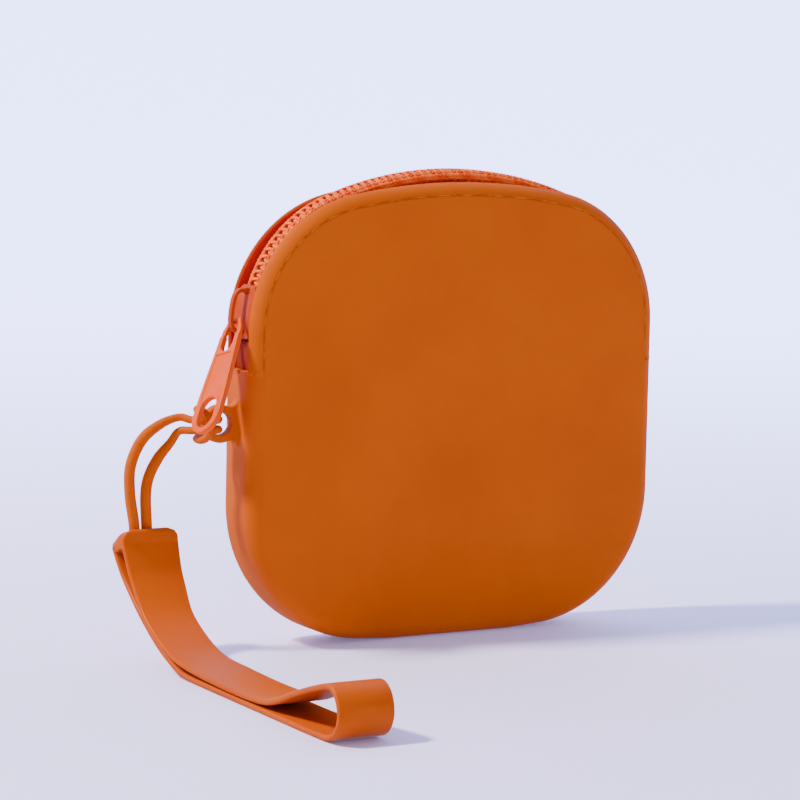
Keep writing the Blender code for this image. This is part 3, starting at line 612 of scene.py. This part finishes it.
def makeLug():
    levels = []
    for angle in spread(0, quarterTurn, 5):
        inset = lug["edge"] * (1 - sin(angle))
        levels.append((lug["half"] - lug["edge"] * (1 - cos(angle)), inset))
    levels = [(-y, inset) for y, inset in levels] + levels[::-1]
    rings = [[Vector((x, y, z)) for x, z in lugOutline(inset)] for y, inset in levels]
    made = loftObject("lugEye", rings, bodySilicone, "pouch", "body_silicone")
    bore = []
    for angle in spread(-quarterTurn, quarterTurn, 8):
        y = (lug["half"] + lug["boreReach"]) * sin(angle)
        radius = lug["hole"] + lug["edge"] * 1.2 * (1 - cos(angle)) ** 1.5
        bore.append([Vector((x, y, z)) for x, z in arc(lug["centre"], radius, 0, fullTurn, 48)])
    boolean(made, loftObject("lugBore", bore), "DIFFERENCE")
    bake(made)
    for side, label in ((-1, "Front"), (1, "Back")):
        rings = []
        for share in spread(-1, 1, 24):
            size = lug["faceFillet"] * max(1 - abs(share) ** 3, 0.04)
            inside = side * (lug["half"] - lug["sunk"])
            sunk = -body["half"] + lug["sunk"]
            ring = [(sunk, inside), (sunk, side * (lug["half"] + size))]
            for angle in spread(0, quarterTurn, 8):
                ring.append((-body["half"] - size * (1 - cos(angle)),
                             side * (lug["half"] + size * (1 - sin(angle)))))
            ring.append((-body["half"] - size, inside))
            rings.append([Vector((x, y, lug["centre"][1] + lug["rootRun"] * share)) for x, y in ring])
        loftObject("lugRoot" + label, rings, bodySilicone, "pouch", "body_silicone")


makeLug()
print("shell and lug made")

# Zip: two rows of wound nylon on woven tapes, parted below the slider by its wedge.
# One turn of the wire: shares of the pitch, of the row's width and of its height.
chain = {
    "turn": ((0.00, 1.00, 0.0), (0.10, 0.84, 1.0), (0.30, 0.09, 1.0), (0.35, -0.04, 0.0),
             (0.40, 0.09, -1.0), (0.85, 0.84, -1.0)),
    "sliderAngle": radians(172),
    **millimetres(pitch=1.75, wire=0.275, thickWire=0.37, halfThick=1.1, row=3.0, reach=0.525, parting=1.3,
                  partStart=2.0, partEnd=-2.5, start=2.0, core=0.44, coreOffset=1.6, coreLead=0.1),
}
sliderStation = zipMarks[1] + zipArch["radius"] * (halfTurn - chain["sliderAngle"])
turnCount = int((zipMarks[-1] - 2 * chain["start"]) / chain["pitch"]) - 1


def parting(distance):
    span = chain["partStart"] - chain["partEnd"]
    return chain["parting"] * smoothStep((chain["partStart"] - (distance - sliderStation)) / span)


def chainPoint(distance, y, height):
    point, normal = archAt(zipArch, distance)
    return point + normal * height + Vector((0, y, 0))


def makeCoil(name, side, phase, node):
    route = []
    for turn in range(turnCount):
        for along, width, height in chain["turn"]:
            distance = chain["start"] + (turn + phase + along) * chain["pitch"]
            y = (chain["row"] - chain["wire"]) * width if width > 0 else chain["wire"] - chain["reach"]
            lift = (chain["halfThick"] - chain["wire"]) * height
            route.append(chainPoint(distance, side * (y + parting(distance)), lift))
    points = smoothRoute(route, len(route) * 3)
    made = wire(name, points, chain["thickWire"], 2, coilNylon, "pouch")
    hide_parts(node)


def makeCore(name, side, node):
    first = chain["start"] - chain["coreLead"]
    points = [chainPoint(distance, side * (chain["coreOffset"] + parting(distance)), 0)
              for distance in spread(first, zipMarks[-1] - first, 180)]
    made = wire(name, points, chain["core"], 2, rowThread, "pouch")
    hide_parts(node)


rowSewing = {"steps": 8, **millimetres(twist=1.75, strand=0.21, swing=0.17,
                                       rows=((2.95, -0.42), (2.95, 0.22), (2.45, 0.8), (1.6, 1.04)))}


def makeRowThread(name, side, offset, height):  # two strands twisted round each other over the turns
    for strand, letter in enumerate("ab"):
        points = []
        for step in range(turnCount * rowSewing["steps"]):
            distance = chain["start"] + step * rowSewing["twist"] / rowSewing["steps"]
            angle = fullTurn * step / rowSewing["steps"] + halfTurn * strand
            sway = rowSewing["swing"] * cos(angle)
            lift = rowSewing["swing"] * sin(angle)
            points.append(chainPoint(distance, side * (offset + sway + parting(distance)), height + lift))
        wire(name + letter, points, rowSewing["strand"], 1, rowThread, "pouch")


tape = millimetres(thick=0.5, gap=0.25, edge=0.9, bevel=0.1, middle=2.2, puff=0.08, flat=3.3, bend=4.2,
                   outer=4.9, deep=7.5, tail=-3.0, clear=2.2, step=0.9, levelFlat=3.9, levelBlend=0.3)


def makeTape(name, side, node):
    top = -chain["halfThick"] - tape["gap"]
    bottom = top - tape["thick"]
    distances = spread(tape["tail"], zipMarks[-1] - tape["tail"], 220)
    rings = []
    for distance in distances:
        path, normal = archAt(zipArch, distance)
        lip, lipNormal = archAt(lipArch, matched(distance))
        sunk = (lip - path - normal * top).dot(lipNormal)
        bend = max(tape["clear"], sunk)
        level = smoothStep((sunk - tape["clear"]) / tape["levelBlend"])
        under = mix(tape["flat"] - tape["thick"], tape["levelFlat"], level)

        def onLip(inset, y):
            return lip - lipNormal * inset + Vector((0, side * y, 0))

        def onPath(height, y):
            return path + normal * height + Vector((0, side * y, 0))

        crest = onPath(top, tape["flat"])
        middle = onLip(bend, tape["bend"])
        inner = tape["outer"] - tape["thick"]
        rings.append([
            onPath(top - tape["bevel"], tape["edge"]), onPath(top, tape["edge"] + tape["bevel"]),
            onPath(top, tape["middle"]), crest, crest.lerp(middle, 0.5) + normal * tape["puff"], middle,
            onLip(bend + tape["step"], tape["outer"]), onLip(tape["deep"], tape["outer"]),
            onLip(tape["deep"], inner), onLip(bend + tape["step"] + tape["thick"], inner),
            onPath(bottom, under), onPath(bottom, tape["middle"]),
            onPath(bottom, tape["edge"] + tape["bevel"])])
    # a lighter copy of the tape cloth, painted light in the gaps between the teeth
    made = makeCloth(name, distances, rings, underClothPaintedLight)
    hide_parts(node)


facing = millimetres(  # its section: pairs of inset and depth
    shape=((0.8, 4.57), (0.72, 4.45), (0.8, 4.3), (1.85, 4.3), (2.9, 4.0), (3.2, 4.3), (2.06, 4.57)))


def makeFacing(name, side):  # the tape's edge, turned up against the inside of the lip
    distances = spread(0, lipMarks[-1], 200)
    rings = []
    for distance in distances:
        lip, normal = archAt(lipArch, distance)
        rings.append([lip - normal * inset + Vector((0, side * y, 0)) for inset, y in facing["shape"]])
    makeCloth(name, distances, rings, tapeCloth)


stop = {"square": 0.35, **millimetres(start=0.4, length=1.2, half=3.8, top=1.25, bottom=-1.05, taper=0.22)}


def makeStop(name, distance, direction, node):
    rings = []
    for share in spread(0, 1, 6):
        here = distance + direction * share * stop["length"]
        shrink = stop["taper"] * abs(2 * share - 1) ** 3
        ring = []
        for angle in spread(0, halfTurn, 12):
            wide = (stop["half"] - shrink) * squared(cos(angle), stop["square"])
            tall = mix(stop["bottom"], stop["top"] - shrink, squared(sin(angle), stop["square"]))
            ring.append(chainPoint(here, -wide, tall))
        rings.append(ring)
    made = loftObject(name, rings, coilNylon, "pouch", "zip_nylon")
    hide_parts(node)


tapeEndShade = millimetres(start=-0.4, bottom=1.3, top=1.62, half=4.45, left=6.3, right=3.0, sag=0.5, rounded=0.3,
                      roundRun=0.5)


def makeTapeEndShade(name, length, fromRight):  # a dark sheet of tape cloth over the last teeth, painted shade where the end of the mouth lies in shade; drawn as the tape's end turned back
    shares = spread(-1, 1, 12)
    distances = []
    rings = []
    for distance in spread(tapeEndShade["start"], length, 24):
        rounded = tapeEndShade["rounded"] * max(1 - abs(distance - length) / tapeEndShade["roundRun"], 0)
        distances.append(zipMarks[-1] - distance if fromRight else distance)
        lower, upper = [
            [chainPoint(distances[-1], tapeEndShade["half"] * share, level - tapeEndShade["sag"] * share ** 4)
             for share in shares] for level in (tapeEndShade["bottom"], tapeEndShade["top"] - rounded)]
        rings.append(lower + upper[::-1])
    makeCloth(name, distances, rings, foldedTapePaintedShade, [tapeEndShade["half"] * share for share in shares] * 2)


for side, label, phase in ((-1, "front", 0.0), (1, "back", 0.5)):
    makeTape(label + "Tape", side, "zip_tape_" + label)
    makeFacing(label + "TapeFacing", side)
    makeCoil(label + "Coil", side, phase, "zip_coil_" + label)
    makeCore(label + "Core", side, "zip_core_" + label)
    for row, (offset, height) in enumerate(rowSewing["rows"]):
        makeRowThread(label + "RowThread" + str(row + 1), side, offset, height)
makeStop("leftStop", stop["start"] + stop["length"], -1, "end_stop_left")
makeStop("rightStop", zipMarks[-1] - stop["start"] - stop["length"], 1, "end_stop_right")
# dark tape-cloth sheets over both ends of the chain: painted shade
makeTapeEndShade("leftTapeEndShade", tapeEndShade["left"], False)
makeTapeEndShade("rightTapeEndShade", tapeEndShade["right"], True)
print("zip made")

# Slider: two wings joined by the wedge, side walls round the closed rows, and the crown
slider = {
    "squareness": 4, "plateShare": 0.985, "lowerShare": 0.9, "crownRound": 0.5, "crownSquare": 0.45,
    **millimetres(
        lengthHalf=5.5, widthHalf=4.1, upper=(1.35, 2.05), lower=(-2.85, -2.15), flange=(3.35, 3.85),
        flangeBottom=-0.95, flangeRun=(2.0, 4.2), overlap=0.3, edge=0.14, through=1.0,
        wedge=((-4.8, 0.22), (-3.3, 0.45), (-2.3, 0.1)), crownHalf=0.8, crownThick=0.8, crownSpan=4.0,
        crownMiddle=0.1, crownFoot=1.6, crownRise=3.2, pocket=0.2),
}


def sliderPoint(travel, y, height):
    angle = chain["sliderAngle"] - travel / zipArch["radius"]
    reach = zipArch["radius"] + height
    offset = zipArch["half"] - zipArch["radius"]
    return Vector((-offset + reach * cos(angle), y, body["upperCorner"] + reach * sin(angle)))


def makePlate(name, levels, widthShare, *linked):
    bottom, top = levels
    rings = []
    for sweep in spread(-quarterTurn, quarterTurn, 40):
        travel = slider["lengthHalf"] * slider["plateShare"] * sin(sweep)
        share = abs(travel) / slider["lengthHalf"]
        narrow = (1 - share ** slider["squareness"]) ** (1 / slider["squareness"])
        wide = slider["widthHalf"] * widthShare * narrow
        shape = [(-wide, bottom), (wide, bottom)] + [(wide * k, top) for k in (1, 0.5, 0, -0.5, -1)]
        rings.append([sliderPoint(travel, y, height) for y, height in shape])
    return loftObject(name, rings, *linked)


def addPrism(target, name, corners, bottom, top, operation):
    rings = [[sliderPoint(travel, y, height) for travel, y in corners] for height in (bottom, top)]
    boolean(target, loftObject(name, rings), operation)


def makeSlider():
    bottom, top = slider["upper"]
    made = makePlate("sliderBody", slider["upper"], 1.0, sliderEnamelPaintedShade, "slider", "slider_paint")
    lower = makePlate("lowerWing", slider["lower"], slider["lowerShare"])
    run = slider["wedge"]
    corners = [(travel, -half) for travel, half in run] + [(travel, half) for travel, half in run[::-1]]
    addPrism(made, "wedge", corners, slider["lower"][1] - slider["overlap"], bottom + slider["overlap"],
             "UNION")
    boolean(made, lower, "UNION")
    inside, outside = slider["flange"]
    spans = spread(*slider["flangeRun"], 6)
    for side in (-1, 1):
        corners = [(travel, side * inside) for travel in spans]
        corners += [(travel, side * outside) for travel in spans[::-1]]
        addPrism(made, "sideWall", corners, slider["flangeBottom"], bottom + slider["overlap"], "UNION")
    reach = slider["crownThick"] / 2 + slider["pocket"]
    wide = slider["crownHalf"] + slider["pocket"]
    for side in (-1, 1):
        travel = slider["crownMiddle"] + side * slider["crownSpan"]
        corners = [(travel + x * reach, y * wide) for x, y in ((-1, -1), (-1, 1), (1, 1), (1, -1))]
        addPrism(made, "pocket", corners, bottom + slider["pocket"], top + slider["through"], "DIFFERENCE")
    soften(made, slider["edge"])
    bake(made)
    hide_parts("slider_body")


def crownLine(share):
    angle = halfTurn * share
    swing = squared(cos(angle), slider["crownRound"])
    rise = abs(sin(angle)) ** slider["crownRound"]
    return Vector((slider["crownMiddle"] + slider["crownSpan"] * swing,
                   slider["crownFoot"] + slider["crownRise"] * rise))


def makeCrown():
    rings = []
    for share in spread(0, 1, 60):
        here = crownLine(share)
        normal = Vector((1 if share == 0 else -1, 0))
        if 0 < share < 1:
            ahead = crownLine(share + 0.001) - crownLine(share - 0.001)
            normal = Vector((ahead.y, -ahead.x)).normalized()
        ring = []
        for k in range(16):
            angle = fullTurn * (k + 0.5) / 16
            across = squared(cos(angle), slider["crownSquare"]) * slider["crownHalf"]
            out = squared(sin(angle), slider["crownSquare"]) * slider["crownThick"] / 2
            spot = here + normal * out
            ring.append(sliderPoint(spot.x, across, spot.y))
        rings.append(ring)
    made = loftObject("sliderCrown", rings, sliderEnamelPaintedShade, "slider", "slider_paint")
    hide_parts("slider_bridge")


makeSlider()
makeCrown()

# Pull tab: an eye under the crown, a sunk panel between two rims, and a ring at the lower end
pull = {
    "tilt": radians(29), "lean": radians(21), "twist": radians(5), "panelTurn": 0.25,
    **millimetres(
        bar=(-51.3, 0, 70.4), thick=1.2, eyeThick=0.8, barRadius=0.4, length=27.2, topHalf=2.1, topInset=0.3,
        shoulderHalf=3.0, shoulder=2.6, bottomHalf=4.3, holeHalf=2.6, holeStretch=2.0, windowStart=1.35,
        windowHalf=1.9, windowShoulder=2.4, windowLength=7.6, eyeLength=3.6, eyeCut=(4.0, 2.0),
        panel=(8.2, 17.2), panelDepth=0.25, rim=0.9, ringRim=0.8, edge=0.16, through=1.0),
}


def pullHalf(down):
    shoulder = smoothStep(down / pull["shoulder"])
    flare = smoothStep(down / (pull["length"] - pull["bottomHalf"]))
    return (pull["topHalf"] + (pull["shoulderHalf"] - pull["topHalf"]) * shoulder
            + (pull["bottomHalf"] - pull["shoulderHalf"]) * flare)


def pullSlab(name, outline, near, far, material=None):
    rings = [[Vector((x, height, -down)) for x, down in outline] for height in (near, far)]
    return loftObject(name, rings, material)


def makePull():
    half = pull["thick"] / 2
    centre = pull["length"] - pull["bottomHalf"]
    right = [(pullHalf(0) - pull["topInset"], -pull["barRadius"])]
    right += [(pullHalf(down), down) for down in spread(0, centre, 40)[:-1]]
    outline = right + arc((0, centre), pull["bottomHalf"], 0, halfTurn, 48)
    outline += [(-pull["bottomHalf"], centre)] + [(-x, down) for x, down in right[::-1]]
    made = pullSlab("pullTab", outline, -half, half, pullEnamel)
    reach = half + pull["through"]
    stretch = pull["holeStretch"] / 2
    upper = (0, centre - stretch * 1.5)
    hole = arc((0, centre + stretch / 2), pull["holeHalf"], 0, halfTurn, 24)
    hole += arc(upper, pull["holeHalf"], halfTurn, fullTurn, 24)
    start = pull["windowStart"]
    end = pull["windowHalf"]
    base = pull["windowLength"] - end
    window = [(-start, pull["barRadius"]), (start, pull["barRadius"]), (end, pull["windowShoulder"])]
    window += arc((0, base), end, 0, halfTurn, 16)
    window += [(-end, base), (-end, pull["windowShoulder"])]
    cuts = [("hole", hole, -reach, reach), ("window", window, -reach, reach)]
    edge = [(pullHalf(down) - pull["rim"], down) for down in spread(*pull["panel"], 12)]
    panel = edge + arc(upper, pull["holeHalf"] + pull["ringRim"], -pull["panelTurn"],
                       pull["panelTurn"] - halfTurn, 14) + [(-x, down) for x, down in edge[::-1]]
    wide, above = pull["eyeCut"]
    eye = [(-wide, -above), (wide, -above), (wide, pull["eyeLength"]), (-wide, pull["eyeLength"])]
    for side in (-1, 1):
        cuts.append(("panel", panel, side * (half - pull["panelDepth"]), side * reach))
        cuts.append(("eye", eye, side * pull["eyeThick"] / 2, side * reach))
    for cut in cuts:
        boolean(made, pullSlab(*cut), "DIFFERENCE")
    soften(made, pull["edge"], angle=40)
    bake(made)
    tilt, lean, twist = pull["tilt"], pull["lean"], pull["twist"]
    down = Vector((-sin(tilt), 0, -cos(tilt)))
    out = Vector((-cos(tilt), 0, sin(tilt)))
    across = Vector((0, -1, 0))
    down, across = cos(lean) * down + sin(lean) * across, cos(lean) * across - sin(lean) * down
    across, out = cos(twist) * across - sin(twist) * out, cos(twist) * out + sin(twist) * across
    turn = Matrix((across, -out, -down)).transposed()
    made.data.transform(Matrix.Translation(Vector(pull["bar"])) @ turn.to_4x4())
    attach(made, "pull")
    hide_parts("pull_tab")


makePull()
print("slider and pull made")

# Wrist strap: one flat band folded into a long loop, with a wedge moulded between its two ends
strap = {
    "points": 330, "thinEnd": 0.55, "wedgePoints": 70,
    **millimetres(
        middleX=-69.0, width=12.0, thick=1.2, edge=0.45, flare=1.1, headTop=26.6, corner=2.4,
        upper=((2.75, 26.6), (2.72, 25.0), (2.55, 23.2), (0.0, 16.5), (-6.0, 9.6), (-15.8, 4.7),
               (-25.0, 2.8), (-40.0, 2.1), (-55.0, 2.1), (-64.5, 3.1), (-75.0, 6.9), (-84.0, 9.8),
               (-88.8, 10.7)),
        lower=((-91.7, 8.6), (-92.3, 4.7), (-89.5, 1.4), (-83.0, 0.66), (-70.0, 0.6), (-55.0, 0.6),
               (-40.0, 0.6), (-27.0, 0.7), (-22.2, 1.4), (-13.0, 4.7), (-3.4, 10.2), (4.2, 16.1),
               (7.6, 21.4), (7.65, 22.2)),
        wedge=((2.6, 22.5), (2.8, 24.0), (2.9, 25.2), (3.1, 26.0), (3.7, 26.05), (4.8, 25.2), (6.5, 23.9),
               (7.9, 22.9), (8.3, 22.2), (8.2, 21.3), (7.7, 20.6), (6.8, 21.1), (5.0, 22.1), (3.5, 22.4)),
        wedgeInset=0.1, wedgeRound=0.5, socketX=-70.75, socketY=4.5, socketSpread=1.45, socketRadius=1.42,
        socketDeep=3.2, socketOut=2.0, bendStart=(-69, 4.5, 23.6), bendEnd=(-69, -7.0, 8.5), pullRoom=0.5,
        pullFrom=30, pullReach=9),
}


def strapHalf(side, height):  # half width of the band, a little wider toward the head on its outer side
    flare = strap["flare"] * smoothStep(2 * height / strap["headTop"] - 1) if side < 0 else 0
    return strap["width"] / 2 + flare


def cornerCut(back):  # how far the head's rounded corner takes the width in
    return strap["corner"] - sqrt(strap["corner"] ** 2 - max(back, 0) ** 2)


def makeBand():
    points = smoothRoute([Vector((0, y, z)) for y, z in strap["upper"] + strap["lower"]], strap["points"])
    edge = strap["edge"]
    flat = strap["thick"] / 2 - edge
    rings = []
    for i, (point, gone) in enumerate(zip(points, travelled(points))):
        along = (points[min(i + 1, len(points) - 1)] - points[max(i - 1, 0)]).normalized()
        normal = Vector((0, -along.z, along.y))
        thin = 1 - strap["thinEnd"] * max(1 - gone / edge, 0) ** 2
        ring = []
        for sx, sn, start in ((1, -1, -1), (1, 1, 0), (-1, 1, 1), (-1, -1, 2)):
            wide = strapHalf(sx, point.z) - cornerCut(strap["corner"] - gone)
            if sx > 0:  # a slight waist, so the lifted strap passes the pull
                wide -= strap["pullRoom"] * smoothStep(2 - abs(gone - strap["pullFrom"]) / strap["pullReach"])
            for angle in spread(quarterTurn * start, quarterTurn * (start + 1), 4):
                x = sx * (wide - edge) + edge * cos(angle)
                n = (sn * flat + edge * sin(angle)) * thin
                ring.append(Vector((strap["middleX"] + x, point.y + normal.y * n, point.z + normal.z * n)))
        rings.append(ring)
    return loftObject("wristBand", rings, strapSilicone)


def makeWedge():
    corners = [Vector((0, y, z)) for y, z in strap["wedge"]]
    middle = sum(corners, Vector()) / len(corners)
    outline = smoothRoute(corners + corners[:1], strap["wedgePoints"])[:-1]
    angles = spread(0, quarterTurn, 7)
    rings = []
    for side, angle in [(-1, angle) for angle in angles] + [(1, angle) for angle in angles[::-1]]:
        shrink = 0.5 * strap["wedgeRound"] * (1 - sin(angle))
        inset = strap["wedgeInset"] + strap["wedgeRound"] * (1 - cos(angle))
        ring = []
        for point in outline:
            away = point - middle
            spot = middle + away * (1 - shrink / away.length)
            wide = strapHalf(side, spot.z) - inset - cornerCut(spot.z - strap["headTop"] + strap["corner"])
            ring.append(Vector((strap["middleX"] + side * wide, spot.y, spot.z)))
        rings.append(ring)
    return loftObject("strapHead", rings, strapSilicone)


def bendAtHead(made):  # bakes the placement into the mesh; the head stays on the cord, and the bend's start and end are read, but the band is not bent
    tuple(strap["bendStart"])
    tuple(strap["bendEnd"])
    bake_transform(made)


def makeStrap():
    band = makeBand()
    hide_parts("wrist_strap")
    head = makeWedge()
    socket = []
    for side in (1, -1):
        middle = (strap["socketX"] + side * strap["socketSpread"], strap["socketY"])
        start = -side * quarterTurn
        socket += arc(middle, strap["socketRadius"], start, start + halfTurn, 16)
    rings = [[Vector((x, y, level)) for x, y in socket]
             for level in (strap["headTop"] - strap["socketDeep"], strap["headTop"] + strap["socketOut"])]
    boolean(head, loftObject("socket", rings), "DIFFERENCE")
    bake(head, sharpAngle=50)
    bendAtHead(band)
    bendAtHead(head)


makeStrap()
print("strap made")

# Seams: one line round each lip of the mouth, and a bar across the side at both ends of it
seam = {"slim": 0.8, **millimetres(stitch=4.9, gap=0.35, radius=0.15, lift=0.02, sink=0.25, probe=0.05,
                                   barHeight=59.7, barRows=(-0.28, 0.12), barStitch=2.1)}


def stitchMesh(name, surface, length, stitch):
    # surface(distance) gives a point on the skin and its outward normal
    mesh = bmesh.new()
    count = max(int(length / stitch), 1)
    pitch = length / count
    for i in range(count):
        rows = []
        for share in spread(0, 1, 10):
            distance = mix(i * pitch + seam["gap"] / 2, (i + 1) * pitch - seam["gap"] / 2, share)
            point, normal = surface(distance)
            travel = (point - surface(distance - seam["probe"])[0]).normalized()
            across = normal.cross(travel).normalized()
            bow = 1 - abs(2 * share - 1) ** 5
            centre = point + normal * mix(-seam["sink"], seam["lift"], bow)
            size = seam["radius"] * mix(seam["slim"], 1, bow)
            rows.append([mesh.verts.new(centre + across * x + normal * (seam["slim"] * z))
                         for x, z in arc((0, 0), size, 0, fullTurn, 8)])
        bridge(mesh, rows, True)
        mesh.faces.new(rows[0])
        mesh.faces.new(rows[-1])
    linkObject(name, meshFrom(mesh, name, 60), seamThread, "pouch")


def makeLipSeam(name, side):
    inset, depth = filletPoint(seamAngle)

    def surface(distance):
        point, normal = archAt(lipArch, distance)
        spot = point - normal * inset + Vector((0, side * (depth - body["grooveDepth"] * 0.6), 0))
        lean = normal * cos(seamAngle) + Vector((0, side * sin(seamAngle), 0))
        return spot, lean.normalized()

    stitchMesh(name, surface, lipMarks[-1], seam["stitch"])


def makeEndBar(name, side, height):
    flat = body["depthHalf"] - body["fillet"]
    length = 2 * (flat + body["fillet"] * seamAngle)

    def surface(distance):
        here = distance - length / 2
        if abs(here) <= flat:
            return Vector((side * body["half"], here, height)), Vector((side, 0, 0))
        angle = (abs(here) - flat) / body["fillet"]
        inset, depth = filletPoint(angle)
        sign = copysign(1, here)
        return (Vector((side * (body["half"] - inset), sign * depth, height)),
                Vector((side * cos(angle), sign * sin(angle), 0)))

    stitchMesh(name, surface, length, seam["barStitch"])


makeLipSeam("frontLipSeam", -1)
makeLipSeam("backLipSeam", 1)
for side, label in ((-1, "left"), (1, "right")):
    for row, offset in enumerate(seam["barRows"]):
        makeEndBar(label + "EndBar" + str(row + 1), side, seam["barHeight"] + offset)
print("seams made")

# Studio: one pale sweep of paper with a lit backdrop, a small key high on the left, a large front fill
# and a low strip that gives the strap its gloss. Each light: place, target, size, power and colour.
studio = {
    "floor": ("#efe6ff", "#f2eaff"), "floorGloss": 0.5, "half": 3.0, "bendStart": 0.9, "bendRadius": 0.7,
    "glowColour": "#aab6ff", "glow": (0.12, 4.6), "glowRun": (-0.1, 0.8),
    "sky": "#d2ddff", "skyLevel": (0.25, 0.85), "skyRun": (-0.6, 0.9), "skyTurn": radians(40),
    "skyRise": 0.7,
    "low": ((0.52, -1.18, 0.085), (-0.069, -0.088, 0.006), (0.2, 0.06), 1.7, "#fff2ea"),
    "key": ((-0.81, 0.22, 1.0), (0, 0, 0.04), (0.16, 0.16), 32, "#faf4ff"),
    "fill": ((-0.3, -1.35, 0.5), (0, 0, 0.05), (1.1, 0.8), 3.9, "#f8f4ff"),
}


def fadeAway(tree, place, turn, rise, run, levels):  # a level that changes with the way from the front
    yaw = view["yaw"] + turn
    away = addNode(tree, "ShaderNodeVectorMath", {"operation": "DOT_PRODUCT",
                                                  1: (sin(yaw), cos(yaw), rise)}, {0: place})
    return addNode(tree, "ShaderNodeMapRange", {
        "From Min": run[0], "From Max": run[1], "To Min": levels[0], "To Max": levels[1],
        "interpolation_type": "SMOOTHSTEP"}, {"Value": away.outputs["Value"]}).outputs["Result"]


# Backdrop paper, coated: matt and even, faintly mottled, and lit from behind where it sweeps up
def backdropPaper():
    material, tree, shader = newMaterial("coated backdrop paper", {
        "Roughness": studio["floorGloss"], "IOR": 1.5, "Emission Color": linearColour(studio["glowColour"])})
    place = addNode(tree, "ShaderNodeTexCoord").outputs["Object"]
    cloud = addNode(tree, "ShaderNodeTexNoise", {"Scale": 6.0, "Detail": 2.0}, {"Vector": place})
    finishShader(tree, shader, cloud.outputs["Fac"], studio["floor"])
    glow = fadeAway(tree, place, 0, 0, studio["glowRun"], studio["glow"])
    tree.links.new(glow, shader.inputs["Emission Strength"])
    return material


def makeFloor():
    half, start, radius = studio["half"], studio["bendStart"], studio["bendRadius"]
    profile = [(-half, 0.0), (start, 0.0)]
    profile += [(start + radius * sin(a), radius * (1 - cos(a)))
                for a in spread(0, quarterTurn, 16)[1:]]
    profile.append((start + radius, half))
    turn = Matrix.Rotation(-view["yaw"], 4, "Z")
    mesh = bmesh.new()
    bridge(mesh, [[mesh.verts.new(turn @ Vector((x, y, z))) for y, z in profile] for x in (-half, half)],
           False)
    made = linkObject("floor", meshFrom(mesh, "floor", 60), backdropPaper())
    made.visible_glossy = False  # reflections show the even sky, so the bright paper leaves no blue veil


def addLight(name):
    position, target, size, power, colour = studio[name]
    data = bpy.data.lights.new(name, "AREA")
    data.shape = "RECTANGLE"
    data.size, data.size_y = size
    data.energy = power
    data.color = linearColour(colour)[:3]
    made = linkObject(name, data)
    made.location = position
    made.rotation_euler = (Vector(target) - Vector(position)).to_track_quat("-Z", "Y").to_euler()


def makeSky():  # soft light from all round, dimmer in front of the object than behind and above it
    world = bpy.data.worlds.new("studio")
    bpy.context.scene.world = world
    world.use_nodes = True
    tree = world.node_tree
    place = addNode(tree, "ShaderNodeTexCoord").outputs["Generated"]
    strength = fadeAway(tree, place, studio["skyTurn"], studio["skyRise"], studio["skyRun"],
                        studio["skyLevel"])
    background = tree.nodes["Background"]
    background.inputs["Color"].default_value = linearColour(studio["sky"])
    tree.links.new(strength, background.inputs["Strength"])


makeFloor()
for name in ("low", "key", "fill"):
    addLight(name)
makeSky()
print("studio made")
